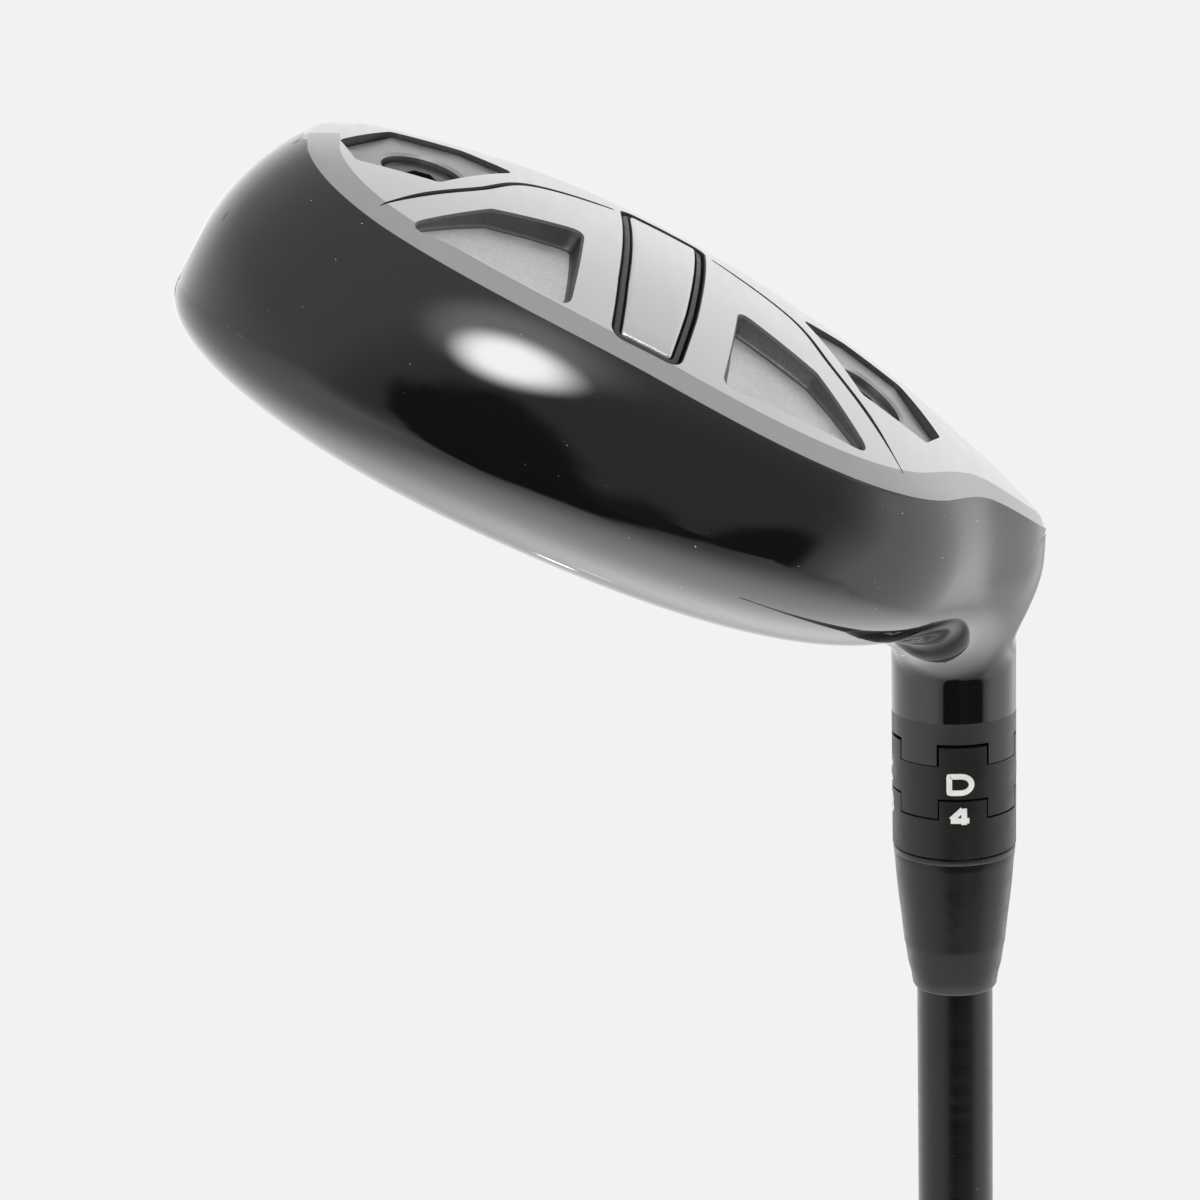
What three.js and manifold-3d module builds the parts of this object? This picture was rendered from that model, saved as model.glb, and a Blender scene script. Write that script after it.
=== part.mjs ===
// Adjustable hybrid golf club, right-handed, 21 degrees of loft, shown with its head up.
// Millimetres. Origin: centre of the grip cap's flat end. +Z runs up the shaft to the head,
// -Y is the rear of the head, -X its toe and +X its heel.
import * as THREE from 'three';
import { LoftGeometry } from 'three/addons/geometries/LoftGeometry.js';
import { mergeVertices } from 'three/addons/utils/BufferGeometryUtils.js';
import Module from 'manifold-3d';

const wasm = await Module();
wasm.setup();

// ---- driving dimensions -------------------------------------------------------------------
const CLUB_LENGTH = 1022;          // grip end to the ground point of the shaft axis
const LIE = THREE.MathUtils.degToRad(60);
const LOFT = THREE.MathUtils.degToRad(21);
const AXIS_X = 38.5;               // shaft axis meets the ground this far heelward of the centre
const FIT_GAP = 0.3;               // clearance between neighbouring pieces
const GLUE_GAP = 0.15;             // bond line between glued tubes

// sole: two shallow arcs about its lowest point
const SOLE = { x: 1.5, y: -3, radiusToe: 130, radiusHeel: 165, radiusRear: 66 };

// head body: superellipsoid about the line of greatest breadth
const BODY = {
  centreY: -12, toe: 45.4, heel: 48, rear: 31.2, front: 21,
  waist: 24, waistTilt: 0.1, crown: 37.5, crownTilt: 0.055, below: 6,
  planPower: 2.25, crownPower: 2.3, skirtPower: 2.15, rearLean: 0.1, toeLean: 0.11,
};
const FACE = { leadY: 8.6, leadHeight: 3, bulge: 330, edge: 3, plate: 3.6 };
const BEVEL = 0.6;                 // size of the chamfer between sole and skirt
const CHORD = 0.1;                 // outward allowance that makes up for flat facets
const WALL = 2.2;                  // cast wall
const SOLE_WALL = 4.6;             // thicker floor under the recesses

// hosel stack, as distances down the shaft axis from the ground point
const HOSEL = { radius: 7.3, rootRadius: 7.4, taperTop: 8, taperEnd: 38, fillet: 6, end: 44.4 };
const PIVOT_HEIGHT = 33;           // centre of the fillet between crown and hosel
const PORT = { radius: 4.8, seat: 15.5, screwHole: 2.9, boreStart: 18.5, boreRadius: 5.6 };
const RING_END = 51.0;
const COLLAR_END = 55.9;
const FERRULE_WAIST = 68.1;
const FERRULE_END = 73.6;
const TANG = { width: 5.6, height: 2.3, count: 4 };
const SLEEVE = { radius: 5.3, start: 20.5, shaftStop: 34, threadRadius: 2.8 };
const SHAFT = { tip: 4.5, butt: 7.6, wall: 1.0, parallelEnd: 150, taperTop: 285 };
const GRIP = { length: 267, cap: 3, vent: 1.5 };

// sole furniture: heel side, mirrored for the toe
const SCREW_SPOT = { x: 27.7, y: -15.6 };
const POCKET_DEPTH = 3.9;
const POCKET = [[17.8, -9.2], [25.8, -20.8], [35, -20.6], [37.2, -15.4], [32, -6.6], [24, -6.4]];
const RECESS = [[27.4, -31.6], [19.6, -23.4], [9.6, -20.4], [9.2, -35.8]];
const GROOVE = [[6.2, -7.4], [16.3, -12.3], [21.4, -19], [27, -24.8], [31.8, -30.4]];
const BADGE = [[4.4, -6.2], [3.8, -27], [3.2, -36.2], [-3.2, -36.2], [-3.8, -27], [-4.4, -6.2]];

// ---- head surface -------------------------------------------------------------------------
const smooth = (t) => THREE.MathUtils.smoothstep(t, 0, 1);

function softMax(a, b, k) {
  const h = Math.max(k - Math.abs(a - b), 0) / k;
  return Math.max(a, b) + h * h * k / 4;
}

function soleHeight(x, y) {
  const radius = x < SOLE.x ? SOLE.radiusToe : SOLE.radiusHeel;
  return (x - SOLE.x) ** 2 / (2 * radius) + (y - SOLE.y) ** 2 / (2 * SOLE.radiusRear);
}

// distance-like field of the crowned body; x heelward, y faceward, h height above the ground
function bodyField(x, y, h) {
  const waist = BODY.waist - BODY.waistTilt * x;
  const drop = waist - h;
  const low = Math.max(drop, 0);
  const leanX = x + BODY.toeLean * low * THREE.MathUtils.clamp(-x / 30, 0, 1);
  const leanY = y - BODY.centreY - BODY.rearLean * low;
  const halfX = leanX < 0 ? BODY.toe : BODY.heel;
  const halfY = leanY < 0 ? BODY.rear : BODY.front;
  const n = BODY.planPower;
  const plan = (Math.abs(leanX / halfX) ** n + Math.abs(leanY / halfY) ** n) ** (1 / n);
  const crown = Math.max(BODY.crown - BODY.crownTilt * (x + 10) - waist, 4);
  const halfH = drop < 0 ? crown : waist + BODY.below;
  const m = drop < 0 ? BODY.crownPower : BODY.skirtPower;
  return 20 * ((plan ** m + Math.abs(drop / halfH) ** m) ** (1 / m) - 1);
}

// signed distance in front of the bulged, lofted face
function faceField(x, y, h) {
  const bulge = (x * x + (h - 15) ** 2) / (2 * FACE.bulge);
  const plane = FACE.leadY - (h - FACE.leadHeight) * Math.tan(LOFT) - bulge;
  return (y - plane) * Math.cos(LOFT);
}

// body and hosel blended, widest at the rear and along the hosel's root only
function castingField(x, y, h) {
  const body = softMax(bodyField(x, y, h), faceField(x, y, h), FACE.edge);
  const along = (x - AXIS_X) * Math.cos(LIE) + h * Math.sin(LIE);
  const across = (x - AXIS_X) * Math.sin(LIE) - h * Math.cos(LIE);
  const taper = smooth((HOSEL.taperEnd - along) / (HOSEL.taperEnd - HOSEL.taperTop));
  const radius = HOSEL.radius + (HOSEL.rootRadius - HOSEL.radius) * taper;
  const hosel = Math.hypot(across, y) - radius;
  const blend = 11 - 3 * smooth((across + 7) / 9) + 9 * smooth((2 - y) / 9);
  const fade = 1 - smooth((along - 20) / 24);
  return -softMax(-body, -hosel, 1 + (blend - 1) * fade);
}

function soleField(x, y, h) {
  return (soleHeight(x, y) - h) * 0.93;
}

// whole head; wall moves every side inwards, and floor the sole
function headField(x, y, h, wall = 0, floor = 0) {
  const casting = castingField(x, y, h) + wall;
  const sole = soleField(x, y, h) + floor;
  const crisp = Math.max(casting, sole, (casting + sole + BEVEL) * Math.SQRT1_2);
  const round = softMax(casting, sole, 4);
  return crisp + (round - crisp) * smooth((y + 6) / 8);
}

// ---- sections: upright planes along the body, then a fan about the crown fillet -----------
const FAN_RADIUS = HOSEL.fillet + 7.2;
const PIVOT_X = AXIS_X + PIVOT_HEIGHT / Math.tan(LIE) - FAN_RADIUS / Math.sin(LIE);
const FAN_END = PIVOT_X + FAN_RADIUS * LIE;
const PIVOT_ALONG = (PIVOT_X - AXIS_X) * Math.cos(LIE) + PIVOT_HEIGHT * Math.sin(LIE);
const SECTION_END = FAN_END + HOSEL.end - PIVOT_ALONG;

function sectionPoint(u, y, s) {
  const turn = THREE.MathUtils.clamp((u - PIVOT_X) / FAN_RADIUS, 0, LIE);
  const past = Math.max(0, u - FAN_END);
  const x = Math.min(u, PIVOT_X) + s * Math.sin(turn) + past * Math.cos(LIE);
  const h = PIVOT_HEIGHT - s * Math.cos(turn) + past * Math.sin(LIE);
  return [x, y, h];
}

function sectionCentre(u) {
  const blend = smooth((u - 5) / (FAN_END - 17));
  const depth = PIVOT_HEIGHT - BODY.waist + BODY.waistTilt * Math.min(u, 0);
  return [BODY.centreY * (1 - blend), depth + (FAN_RADIUS - depth) * blend];
}

function castPoint(u, angle, wall, floor) {
  const [y0, s0] = sectionCentre(u);
  const at = (r) => sectionPoint(u, y0 + r * Math.cos(angle), s0 - r * Math.sin(angle));
  const inside = (r) => headField(...at(r), wall, floor) < 0;
  let high = 0.05;
  while (inside(high) && high < 60) high += 1;
  let low = Math.max(0, high - 1);
  for (let i = 0; i < 24; i += 1) {
    const middle = (low + high) / 2;
    if (inside(middle)) low = middle;
    else high = middle;
  }
  return at(low);
}

// angle at which a section's rear half crosses the outer (0) or inner (1) edge of the bevel
function bevelAngle(u, edge) {
  let low = Math.PI;
  let high = Math.PI * 1.5;
  for (let i = 0; i < 22; i += 1) {
    const middle = (low + high) / 2;
    const p = castPoint(u, middle, 0, 0);
    const past = edge === 0 ? soleField(...p) + BEVEL > 0 : castingField(...p) + BEVEL < 0;
    if (past) high = middle;
    else low = middle;
  }
  return Math.min((low + high) / 2, Math.PI * (edge === 0 ? 1.47 : 1.49));
}

function sectionAngles(u, density) {
  const outer = bevelAngle(u, 0);
  const inner = Math.max(bevelAngle(u, 1), outer + 0.02);
  const stops = [Math.PI / 2, Math.PI, outer, inner, Math.PI * 1.75, Math.PI * 2, Math.PI * 2.5];
  const counts = [7, 5, 1, 6, 4, 6].map((n) => Math.max(1, Math.round(n * density)));
  const angles = [];
  counts.forEach((count, i) => {
    for (let k = 0; k < count; k += 1) {
      angles.push(stops[i] + (stops[i + 1] - stops[i]) * k / count);
    }
  });
  return angles;
}

function headSection(u, wall, floor, density) {
  const points = sectionAngles(u, density).map((angle) => {
    const [x, y, h] = castPoint(u, angle, wall, floor);
    return new THREE.Vector3(x, y, -h);
  });
  return points.reverse();
}

// ---- solids -------------------------------------------------------------------------------
function toSolid(geometry) {
  const plain = new THREE.BufferGeometry();
  plain.setAttribute('position', geometry.attributes.position);
  plain.setIndex(geometry.index);
  const merged = mergeVertices(plain, 1e-4);
  const vertProperties = new Float32Array(merged.attributes.position.array);
  const triVerts = new Uint32Array(merged.index.array);
  const solid = new wasm.Manifold(new wasm.Mesh({ numProp: 3, vertProperties, triVerts }));
  if (solid.volume() > 0) return solid;
  for (let i = 0; i < triVerts.length; i += 3) {
    [triVerts[i], triVerts[i + 1]] = [triVerts[i + 1], triVerts[i]];
  }
  return new wasm.Manifold(new wasm.Mesh({ numProp: 3, vertProperties, triVerts }));
}

function toGeometry(solid) {
  const mesh = solid.getMesh();
  const geometry = new THREE.BufferGeometry();
  geometry.setAttribute('position', new THREE.BufferAttribute(mesh.vertProperties, 3));
  geometry.setIndex(new THREE.BufferAttribute(mesh.triVerts, 1));
  geometry.computeVertexNormals();
  return geometry;
}

function range(from, to, count) {
  return Array.from({ length: count + 1 }, (_, i) => from + (to - from) * i / count);
}

function outerHead() {
  const toe = BODY.toe + CHORD;
  const body = range(0.05, 1, 21).map((t) => -toe + (PIVOT_X + toe) * t ** 1.6);
  const fan = range(PIVOT_X, FAN_END + 4, 8).slice(1);
  const stations = [-toe, ...body, ...fan, SECTION_END];
  const sections = stations.map((u) => headSection(u, -CHORD, -CHORD, 1));
  return toSolid(new LoftGeometry(sections, { capStart: true, capEnd: true }));
}

function headCavity() {
  const stations = range(6.5 - BODY.toe, 26, 11);
  const sections = stations.map((u) => headSection(u, WALL, SOLE_WALL, 0.5));
  return toSolid(new LoftGeometry(sections, { capStart: true, capEnd: true }));
}

// upright prism over an outline in the head's plan
function planPrism(outline, low, high) {
  const shape = new THREE.Shape(outline.map(([x, y]) => new THREE.Vector2(x, y)));
  const geometry = new THREE.ExtrudeGeometry(shape, { depth: high - low, bevelEnabled: false });
  geometry.translate(0, 0, low);
  return toSolid(geometry);
}

// layer that follows the sole, between two depths given as functions of x and y
function soleLayer(top, bottom, box) {
  const [x0, x1, y0, y1] = box;
  const columns = range(x0, x1, Math.max(2, Math.round((x1 - x0) / 4)));
  const rows = range(y0, y1, Math.max(2, Math.round((y1 - y0) / 3)));
  const at = (x, y, depth) => new THREE.Vector3(x, y, -soleHeight(x, y) - depth);
  const sections = columns.map((x) => [
    ...rows.map((y) => at(x, y, bottom(x, y))),
    ...rows.map((y) => at(x, y, top(x, y))).reverse(),
  ]);
  return toSolid(new LoftGeometry(sections, { capStart: true, capEnd: true }));
}

function outlineBox(outline, margin) {
  const xs = outline.map((p) => p[0]);
  const ys = outline.map((p) => p[1]);
  return [Math.min(...xs) - margin, Math.max(...xs) + margin,
    Math.min(...ys) - margin, Math.max(...ys) + margin];
}

// moves every side of a convex outline by a distance, outwards if positive
function offsetOutline(outline, distance) {
  const points = outline.map(([x, y]) => new THREE.Vector2(x, y));
  const area = THREE.ShapeUtils.area(points);
  const sign = area > 0 ? 1 : -1;
  return points.map((p, i) => {
    const before = points[(i + points.length - 1) % points.length];
    const after = points[(i + 1) % points.length];
    const a = p.clone().sub(before).normalize();
    const b = after.clone().sub(p).normalize();
    const normalA = new THREE.Vector2(a.y, -a.x).multiplyScalar(sign);
    const normalB = new THREE.Vector2(b.y, -b.x).multiplyScalar(sign);
    const push = normalA.add(normalB);
    const scale = 2 * distance / push.lengthSq();
    return [p.x + push.x * scale, p.y + push.y * scale];
  });
}

function mirrored(outline) {
  return outline.map(([x, y]) => [-x, y]);
}

// body turned about Z from [radius, height] pairs
function turned(profile, segments = 32) {
  const points = profile.map(([r, z]) => new THREE.Vector2(r, z));
  const geometry = new THREE.LatheGeometry(points, segments);
  geometry.rotateX(Math.PI / 2);
  return geometry;
}

function tube(outer, inner, low, high, segments = 32) {
  return turned([[inner, low], [outer, low], [outer, high], [inner, high], [inner, low]], segments);
}

function rod(radius, low, high, segments = 24) {
  return turned([[0, low], [radius, low], [radius, high], [0, high]], segments);
}

function block(width, depth, low, high) {
  const geometry = new THREE.BoxGeometry(width, depth, high - low);
  geometry.translate(0, 0, (low + high) / 2);
  return geometry;
}

// height up the club of a point on the axis, from its distance to the ground point
const level = (along) => CLUB_LENGTH - along;

// ---- head frame: x heelward, y faceward, z soleward, origin on the ground -----------------
const head = new THREE.Group();
head.rotation.y = Math.PI / 2 - LIE;
head.position.set(-AXIS_X * Math.sin(LIE), 0, CLUB_LENGTH + AXIS_X * Math.cos(LIE));
head.updateMatrixWorld();
const clubToHead = head.matrixWorld.clone().invert();

function fromClub(geometry) {
  return toSolid(geometry.clone().applyMatrix4(clubToHead));
}

// four radial bars that cut or make the tangs of the hosel, ring and sleeve
function tangBars(width, low, high) {
  const long = 4 * HOSEL.radius;
  const first = toSolid(block(width, long, low, high));
  return first.add(toSolid(block(long, width, low, high)));
}

// frame of a weight screw: origin on the sole at the screw, +Z out of the sole
function screwFrame(side) {
  const x = side * SCREW_SPOT.x;
  const y = SCREW_SPOT.y;
  const radius = x < SOLE.x ? SOLE.radiusToe : SOLE.radiusHeel;
  const normal = new THREE.Vector3((x - SOLE.x) / radius, (y - SOLE.y) / SOLE.radiusRear, 1);
  const frame = new THREE.Group();
  frame.position.set(x, y, -soleHeight(x, y));
  frame.quaternion.setFromUnitVectors(new THREE.Vector3(0, 0, 1), normal.normalize());
  frame.updateMatrixWorld();
  return frame;
}

function pocketOutline(side, grow) {
  const outline = side > 0 ? POCKET : mirrored(POCKET);
  const local = outline.map(([x, y]) => [x - side * SCREW_SPOT.x, y - SCREW_SPOT.y]);
  return offsetOutline(local, grow);
}

// ---- head pieces --------------------------------------------------------------------------
const SCREW = { head: 4.4, headDepth: 1.2, shank: 1.9, length: 8.8, socket: 1.75 };
const PLATE = { top: -1.1, thickness: 2.5, counterbore: 2.0 };

function weightPocket(side) {
  const frame = screwFrame(side);
  const pocket = planPrism(pocketOutline(side, 0), -POCKET_DEPTH, 8);
  const hole = toSolid(rod(SCREW.shank + 0.25, -SCREW.length - 0.8, 0, 16));
  const cut = pocket.add(hole);
  return cut.transform([...frame.matrixWorld.elements]);
}

function weightBoss(side) {
  const frame = screwFrame(side);
  const boss = toSolid(rod(4.2, -SCREW.length - 1.8, -POCKET_DEPTH - 0.6, 16));
  return boss.transform([...frame.matrixWorld.elements]);
}

// triangular recess: a vertical front wall and a floor that ramps up to the rear edge
function recessCut(side) {
  const outline = side > 0 ? RECESS : mirrored(RECESS);
  const [, , y0, y1] = outlineBox(outline, 0);
  const depth = (x, y) => 0.35 + 2.1 * THREE.MathUtils.clamp((y - y0) / (y1 - y0), 0, 1);
  const layer = soleLayer(() => -6, depth, outlineBox(outline, 1));
  return layer.intersect(planPrism(outline, -30, 20));
}

function ribbon(path, width) {
  const left = [];
  const right = [];
  path.forEach(([x, y], i) => {
    const [ax, ay] = path[Math.max(0, i - 1)];
    const [bx, by] = path[Math.min(path.length - 1, i + 1)];
    const length = Math.hypot(bx - ax, by - ay);
    const nx = -(by - ay) / length * width / 2;
    const ny = (bx - ax) / length * width / 2;
    left.push([x + nx, y + ny]);
    right.push([x - nx, y - ny]);
  });
  return [...left, ...right.reverse()];
}

function grooveCut(side) {
  const path = side > 0 ? GROOVE : mirrored(GROOVE);
  const outline = ribbon(path, 0.8);
  const layer = soleLayer(() => -4, () => 0.6, outlineBox(outline, 1));
  return layer.intersect(planPrism(outline, -30, 20));
}

function badgeLayer(grow, top, bottom) {
  const outline = offsetOutline(BADGE, grow);
  const layer = soleLayer(() => top, () => bottom, outlineBox(outline, 1));
  return layer.intersect(planPrism(outline, -30, 20));
}

// plate on the lofted face: x across, y up the face, z out of it
function facePrism(grow, inner, outer) {
  const outline = [[-34, 7], [-26, 4.4], [18, 4.4], [27, 8], [27, 26.5], [-20, 31], [-33, 30]];
  const prism = planPrism(offsetOutline(outline, grow), inner, outer);
  const frame = new THREE.Group();
  const up = new THREE.Vector3(0, -Math.sin(LOFT), -Math.cos(LOFT));
  const out = new THREE.Vector3(0, Math.cos(LOFT), -Math.sin(LOFT));
  const across = new THREE.Vector3().crossVectors(up, out);
  frame.matrix.makeBasis(across, up, out);
  frame.matrix.setPosition(0, FACE.leadY + FACE.leadHeight * Math.tan(LOFT), 0);
  const flip = across.x < 0;
  const solid = flip ? planPrism(offsetOutline(mirrored(outline), grow), inner, outer) : prism;
  return solid.transform([...frame.matrix.elements]);
}

function scoreLines() {
  const lines = range(9, 24, 5).map((v) => {
    const bar = new THREE.BoxGeometry(44, 0.7, 6);
    bar.translate(-3, v, 3 - 0.55 + faceSag(v));
    return toSolid(bar);
  });
  const all = lines.reduce((sum, bar) => sum.add(bar));
  const frame = new THREE.Matrix4();
  const up = new THREE.Vector3(0, -Math.sin(LOFT), -Math.cos(LOFT));
  const out = new THREE.Vector3(0, Math.cos(LOFT), -Math.sin(LOFT));
  frame.makeBasis(new THREE.Vector3().crossVectors(up, out), up, out);
  frame.setPosition(0, FACE.leadY + FACE.leadHeight * Math.tan(LOFT), 0);
  return all.transform([...frame.elements]);
}

// how far the rolled face lies behind its flat plane at the middle of a score line
function faceSag(v) {
  return -((v * Math.cos(LOFT) - 15) ** 2) / (2 * FACE.bulge);
}

const CROWN_SEAM = 30.5;
const crownBlock = (seam) => planPrism([[-60, -60], [33, -60], [33, -10.5], [-60, -10.5]], -60, -seam);

const headOuter = outerHead();
const headShell = headOuter.subtract(headCavity());

function headBody() {
  let solid = headShell;
  for (const side of [-1, 1]) solid = solid.add(weightBoss(side));
  solid = solid.subtract(crownBlock(CROWN_SEAM - FIT_GAP));
  solid = solid.subtract(facePrism(FIT_GAP, -FACE.plate - FIT_GAP, 12));
  for (const side of [-1, 1]) {
    solid = solid.subtract(weightPocket(side));
    solid = solid.subtract(recessCut(side));
    solid = solid.subtract(grooveCut(side));
  }
  solid = solid.subtract(badgeLayer(0.9, -6, 1.9));
  const port = rod(PORT.radius, level(PORT.seat), level(-12));
  const screwHole = rod(PORT.screwHole, level(PORT.boreStart + 1), level(PORT.seat - 1));
  const bore = rod(PORT.boreRadius, level(HOSEL.end + 2), level(PORT.boreStart));
  for (const cutter of [port, screwHole, bore]) solid = solid.subtract(fromClub(cutter));
  const notches = tangBars(TANG.width + 2 * FIT_GAP, level(HOSEL.end + 2),
    level(HOSEL.end - TANG.height - FIT_GAP));
  return solid.subtract(notches.transform([...clubToHead.elements]));
}

function crownShell() {
  return headShell.intersect(crownBlock(CROWN_SEAM));
}

function faceInsert() {
  const plate = headShell.intersect(facePrism(0, -FACE.plate, 12));
  return plate.subtract(scoreLines());
}

// ---- pieces turned or built on the shaft axis ---------------------------------------------
function adjustRing() {
  const low = level(RING_END) + FIT_GAP;
  const high = level(HOSEL.end) - FIT_GAP;
  const bore = SLEEVE.radius + FIT_GAP;
  const ring = toSolid(tube(HOSEL.radius, bore, low, high));
  const teeth = toSolid(tube(HOSEL.radius, bore, high - 1, high + TANG.height));
  const raised = ring.add(teeth.intersect(tangBars(TANG.width, high - 1, high + TANG.height)));
  const notch = tangBars(TANG.width + 2 * FIT_GAP, low - 1, low + TANG.height + FIT_GAP);
  return raised.subtract(notch);
}

function shaftSleeve() {
  const low = level(COLLAR_END) + FIT_GAP;
  const high = level(RING_END);
  const barrel = toSolid(turned([
    [SHAFT.tip + GLUE_GAP, low], [HOSEL.radius, low], [HOSEL.radius, high], [SLEEVE.radius, high],
    [SLEEVE.radius, level(SLEEVE.start) - 1], [SLEEVE.radius - 0.8, level(SLEEVE.start)],
    [SLEEVE.threadRadius, level(SLEEVE.start)], [SLEEVE.threadRadius, level(SLEEVE.shaftStop)],
    [SHAFT.tip + GLUE_GAP, level(SLEEVE.shaftStop)], [SHAFT.tip + GLUE_GAP, low],
  ]));
  const teeth = toSolid(tube(HOSEL.radius, SLEEVE.radius - 0.2, high - 1, high + TANG.height));
  return barrel.add(teeth.intersect(tangBars(TANG.width, high - 1, high + TANG.height)));
}

function ferrule() {
  const top = level(COLLAR_END);
  const waist = level(FERRULE_WAIST);
  const end = level(FERRULE_END);
  const bore = SHAFT.tip + GLUE_GAP;
  return turned([
    [bore, end], [SHAFT.tip + 0.35, end], [SHAFT.tip + 0.6, end + 0.4], [5.2, end + 1.6],
    [5.85, waist - 0.5], [6.0, waist], [6.6, waist + 5.5], [7.05, top - 1.8], [7.2, top - 0.6],
    [7.2, top], [bore, top], [bore, end],
  ]);
}

function shaftTube() {
  const low = GRIP.cap + FIT_GAP;
  const high = level(SLEEVE.shaftStop) - FIT_GAP;
  const parallel = level(SHAFT.parallelEnd);
  return turned([
    [SHAFT.butt - SHAFT.wall, low], [SHAFT.butt, low], [SHAFT.butt, SHAFT.taperTop],
    [SHAFT.tip, parallel], [SHAFT.tip, high], [SHAFT.tip - 1.6, high],
    [SHAFT.tip - 1.6, parallel], [SHAFT.butt - SHAFT.wall, SHAFT.taperTop],
    [SHAFT.butt - SHAFT.wall, low],
  ]);
}

function grip() {
  const bore = SHAFT.butt + GLUE_GAP + 0.4 + GLUE_GAP;
  return turned([
    [GRIP.vent, 0], [11.6, 0], [12.9, 0.5], [13.45, 1.6], [13.5, 3.4], [13.1, 6], [12.4, 14],
    [11.9, 60], [11.0, 130], [10.1, 200], [9.5, GRIP.length - 3], [9.3, GRIP.length - 0.6],
    [8.9, GRIP.length], [bore, GRIP.length], [bore, GRIP.cap], [GRIP.vent, GRIP.cap],
    [GRIP.vent, 0],
  ]);
}

function gripTape() {
  const inner = SHAFT.butt + GLUE_GAP;
  return tube(inner + 0.4, inner, GRIP.cap + 1, GRIP.length - 2);
}

function hoselScrew() {
  const seat = level(PORT.seat) + 1.2;
  const socket = hexSocket(2.0, seat + 1.4, seat + 8);
  const screw = toSolid(turned([
    [0, level(31.5)], [1.9, level(31.5)], [2.5, level(31.5) + 0.6], [2.5, seat],
    [4.4, seat], [4.4, seat + 3.3], [4.0, seat + 3.7], [0, seat + 3.7],
  ]));
  return screw.subtract(socket);
}

function hexSocket(radius, low, high) {
  return toSolid(rod(radius, low, high, 6));
}

function weightPlate(side) {
  const low = PLATE.top - PLATE.thickness;
  let plate = planPrism(pocketOutline(side, -FIT_GAP), low, PLATE.top);
  plate = plate.subtract(toSolid(rod(SCREW.shank + 0.35, low - 1, 2, 20)));
  return plate.subtract(toSolid(rod(SCREW.head + FIT_GAP, PLATE.top - PLATE.counterbore, 2, 28)));
}

function weightScrew() {
  const seat = PLATE.top - PLATE.counterbore + 0.1;
  const screw = toSolid(turned([
    [0, -SCREW.length], [SCREW.shank - 0.5, -SCREW.length], [SCREW.shank, -SCREW.length + 0.6],
    [SCREW.shank, seat], [SCREW.head, seat], [SCREW.head, seat + SCREW.headDepth - 0.3],
    [SCREW.head - 0.3, seat + SCREW.headDepth], [0, seat + SCREW.headDepth],
  ]));
  return screw.subtract(hexSocket(SCREW.socket, seat - 0.6, 4));
}

// ---- materials and assembly ---------------------------------------------------------------
function material(color, roughness, metalness) {
  return new THREE.MeshStandardMaterial({ color, roughness, metalness });
}

const MATERIALS = {
  casting: material(0x8b8d90, 0.4, 0.9),
  paint: material(0x0b0b0d, 0.12, 0.2),
  face: material(0x55575b, 0.45, 0.9),
  badge: material(0xb9bcc0, 0.25, 1),
  dark: material(0x151517, 0.5, 0.6),
  rubber: material(0x1a1a1b, 0.85, 0),
  graphite: material(0x101012, 0.3, 0.1),
  steel: material(0x4a4b4e, 0.35, 1),
};

function add(parent, name, shape, look) {
  const geometry = shape.isBufferGeometry ? shape : toGeometry(shape);
  const mesh = new THREE.Mesh(geometry, MATERIALS[look]);
  mesh.name = name;
  parent.add(mesh);
  return mesh;
}

const club = new THREE.Group();
club.add(head);

add(head, 'head_body', headBody(), 'casting');
add(head, 'crown_shell', crownShell(), 'paint');
add(head, 'face_insert', faceInsert(), 'face');
add(head, 'badge_gasket', badgeLayer(0.6, 0.25, 1.0).subtract(badgeLayer(FIT_GAP - 0.3, -1, 3)), 'dark');
add(head, 'sole_badge', badgeLayer(-FIT_GAP, 0.05, 1.0), 'badge');
add(head, 'badge_tape', badgeLayer(-FIT_GAP, 1.3, 1.6), 'rubber');

for (const [side, word] of [[-1, 'toe'], [1, 'heel']]) {
  const frame = screwFrame(side);
  head.add(frame);
  add(frame, `${word}_weight`, weightPlate(side), 'steel');
  add(frame, `${word}_weight_screw`, weightScrew(), 'dark');
}

const seatLevel = level(PORT.seat);
add(club, 'hosel_screw_washer', tube(4.4, 2.8, seatLevel + 0.2, seatLevel + 0.9), 'steel');
add(club, 'hosel_screw', hoselScrew(), 'dark');
add(club, 'adjust_ring', adjustRing(), 'dark');
add(club, 'shaft_sleeve', shaftSleeve(), 'dark');
add(club, 'ferrule', ferrule(), 'dark');
add(club, 'shaft', shaftTube(), 'graphite');
const plugTop = level(SLEEVE.shaftStop) - 1;
add(club, 'shaft_tip_plug', rod(SHAFT.tip - 1.6 - GLUE_GAP, plugTop - 12, plugTop, 16), 'rubber');
add(club, 'grip_tape', gripTape(), 'rubber');
add(club, 'grip', grip(), 'rubber');

export default club;
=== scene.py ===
"""Looks for the adjustable hybrid golf club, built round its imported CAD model.

Shapes are made in millimetres and land in metres. Head pieces are drawn in the head's own
frame: x heelward, y faceward, z out of the sole, with the ground at z = 0.
"""
import math

import bmesh
import bpy
import numpy as np
from mathutils import Matrix, Vector


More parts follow.
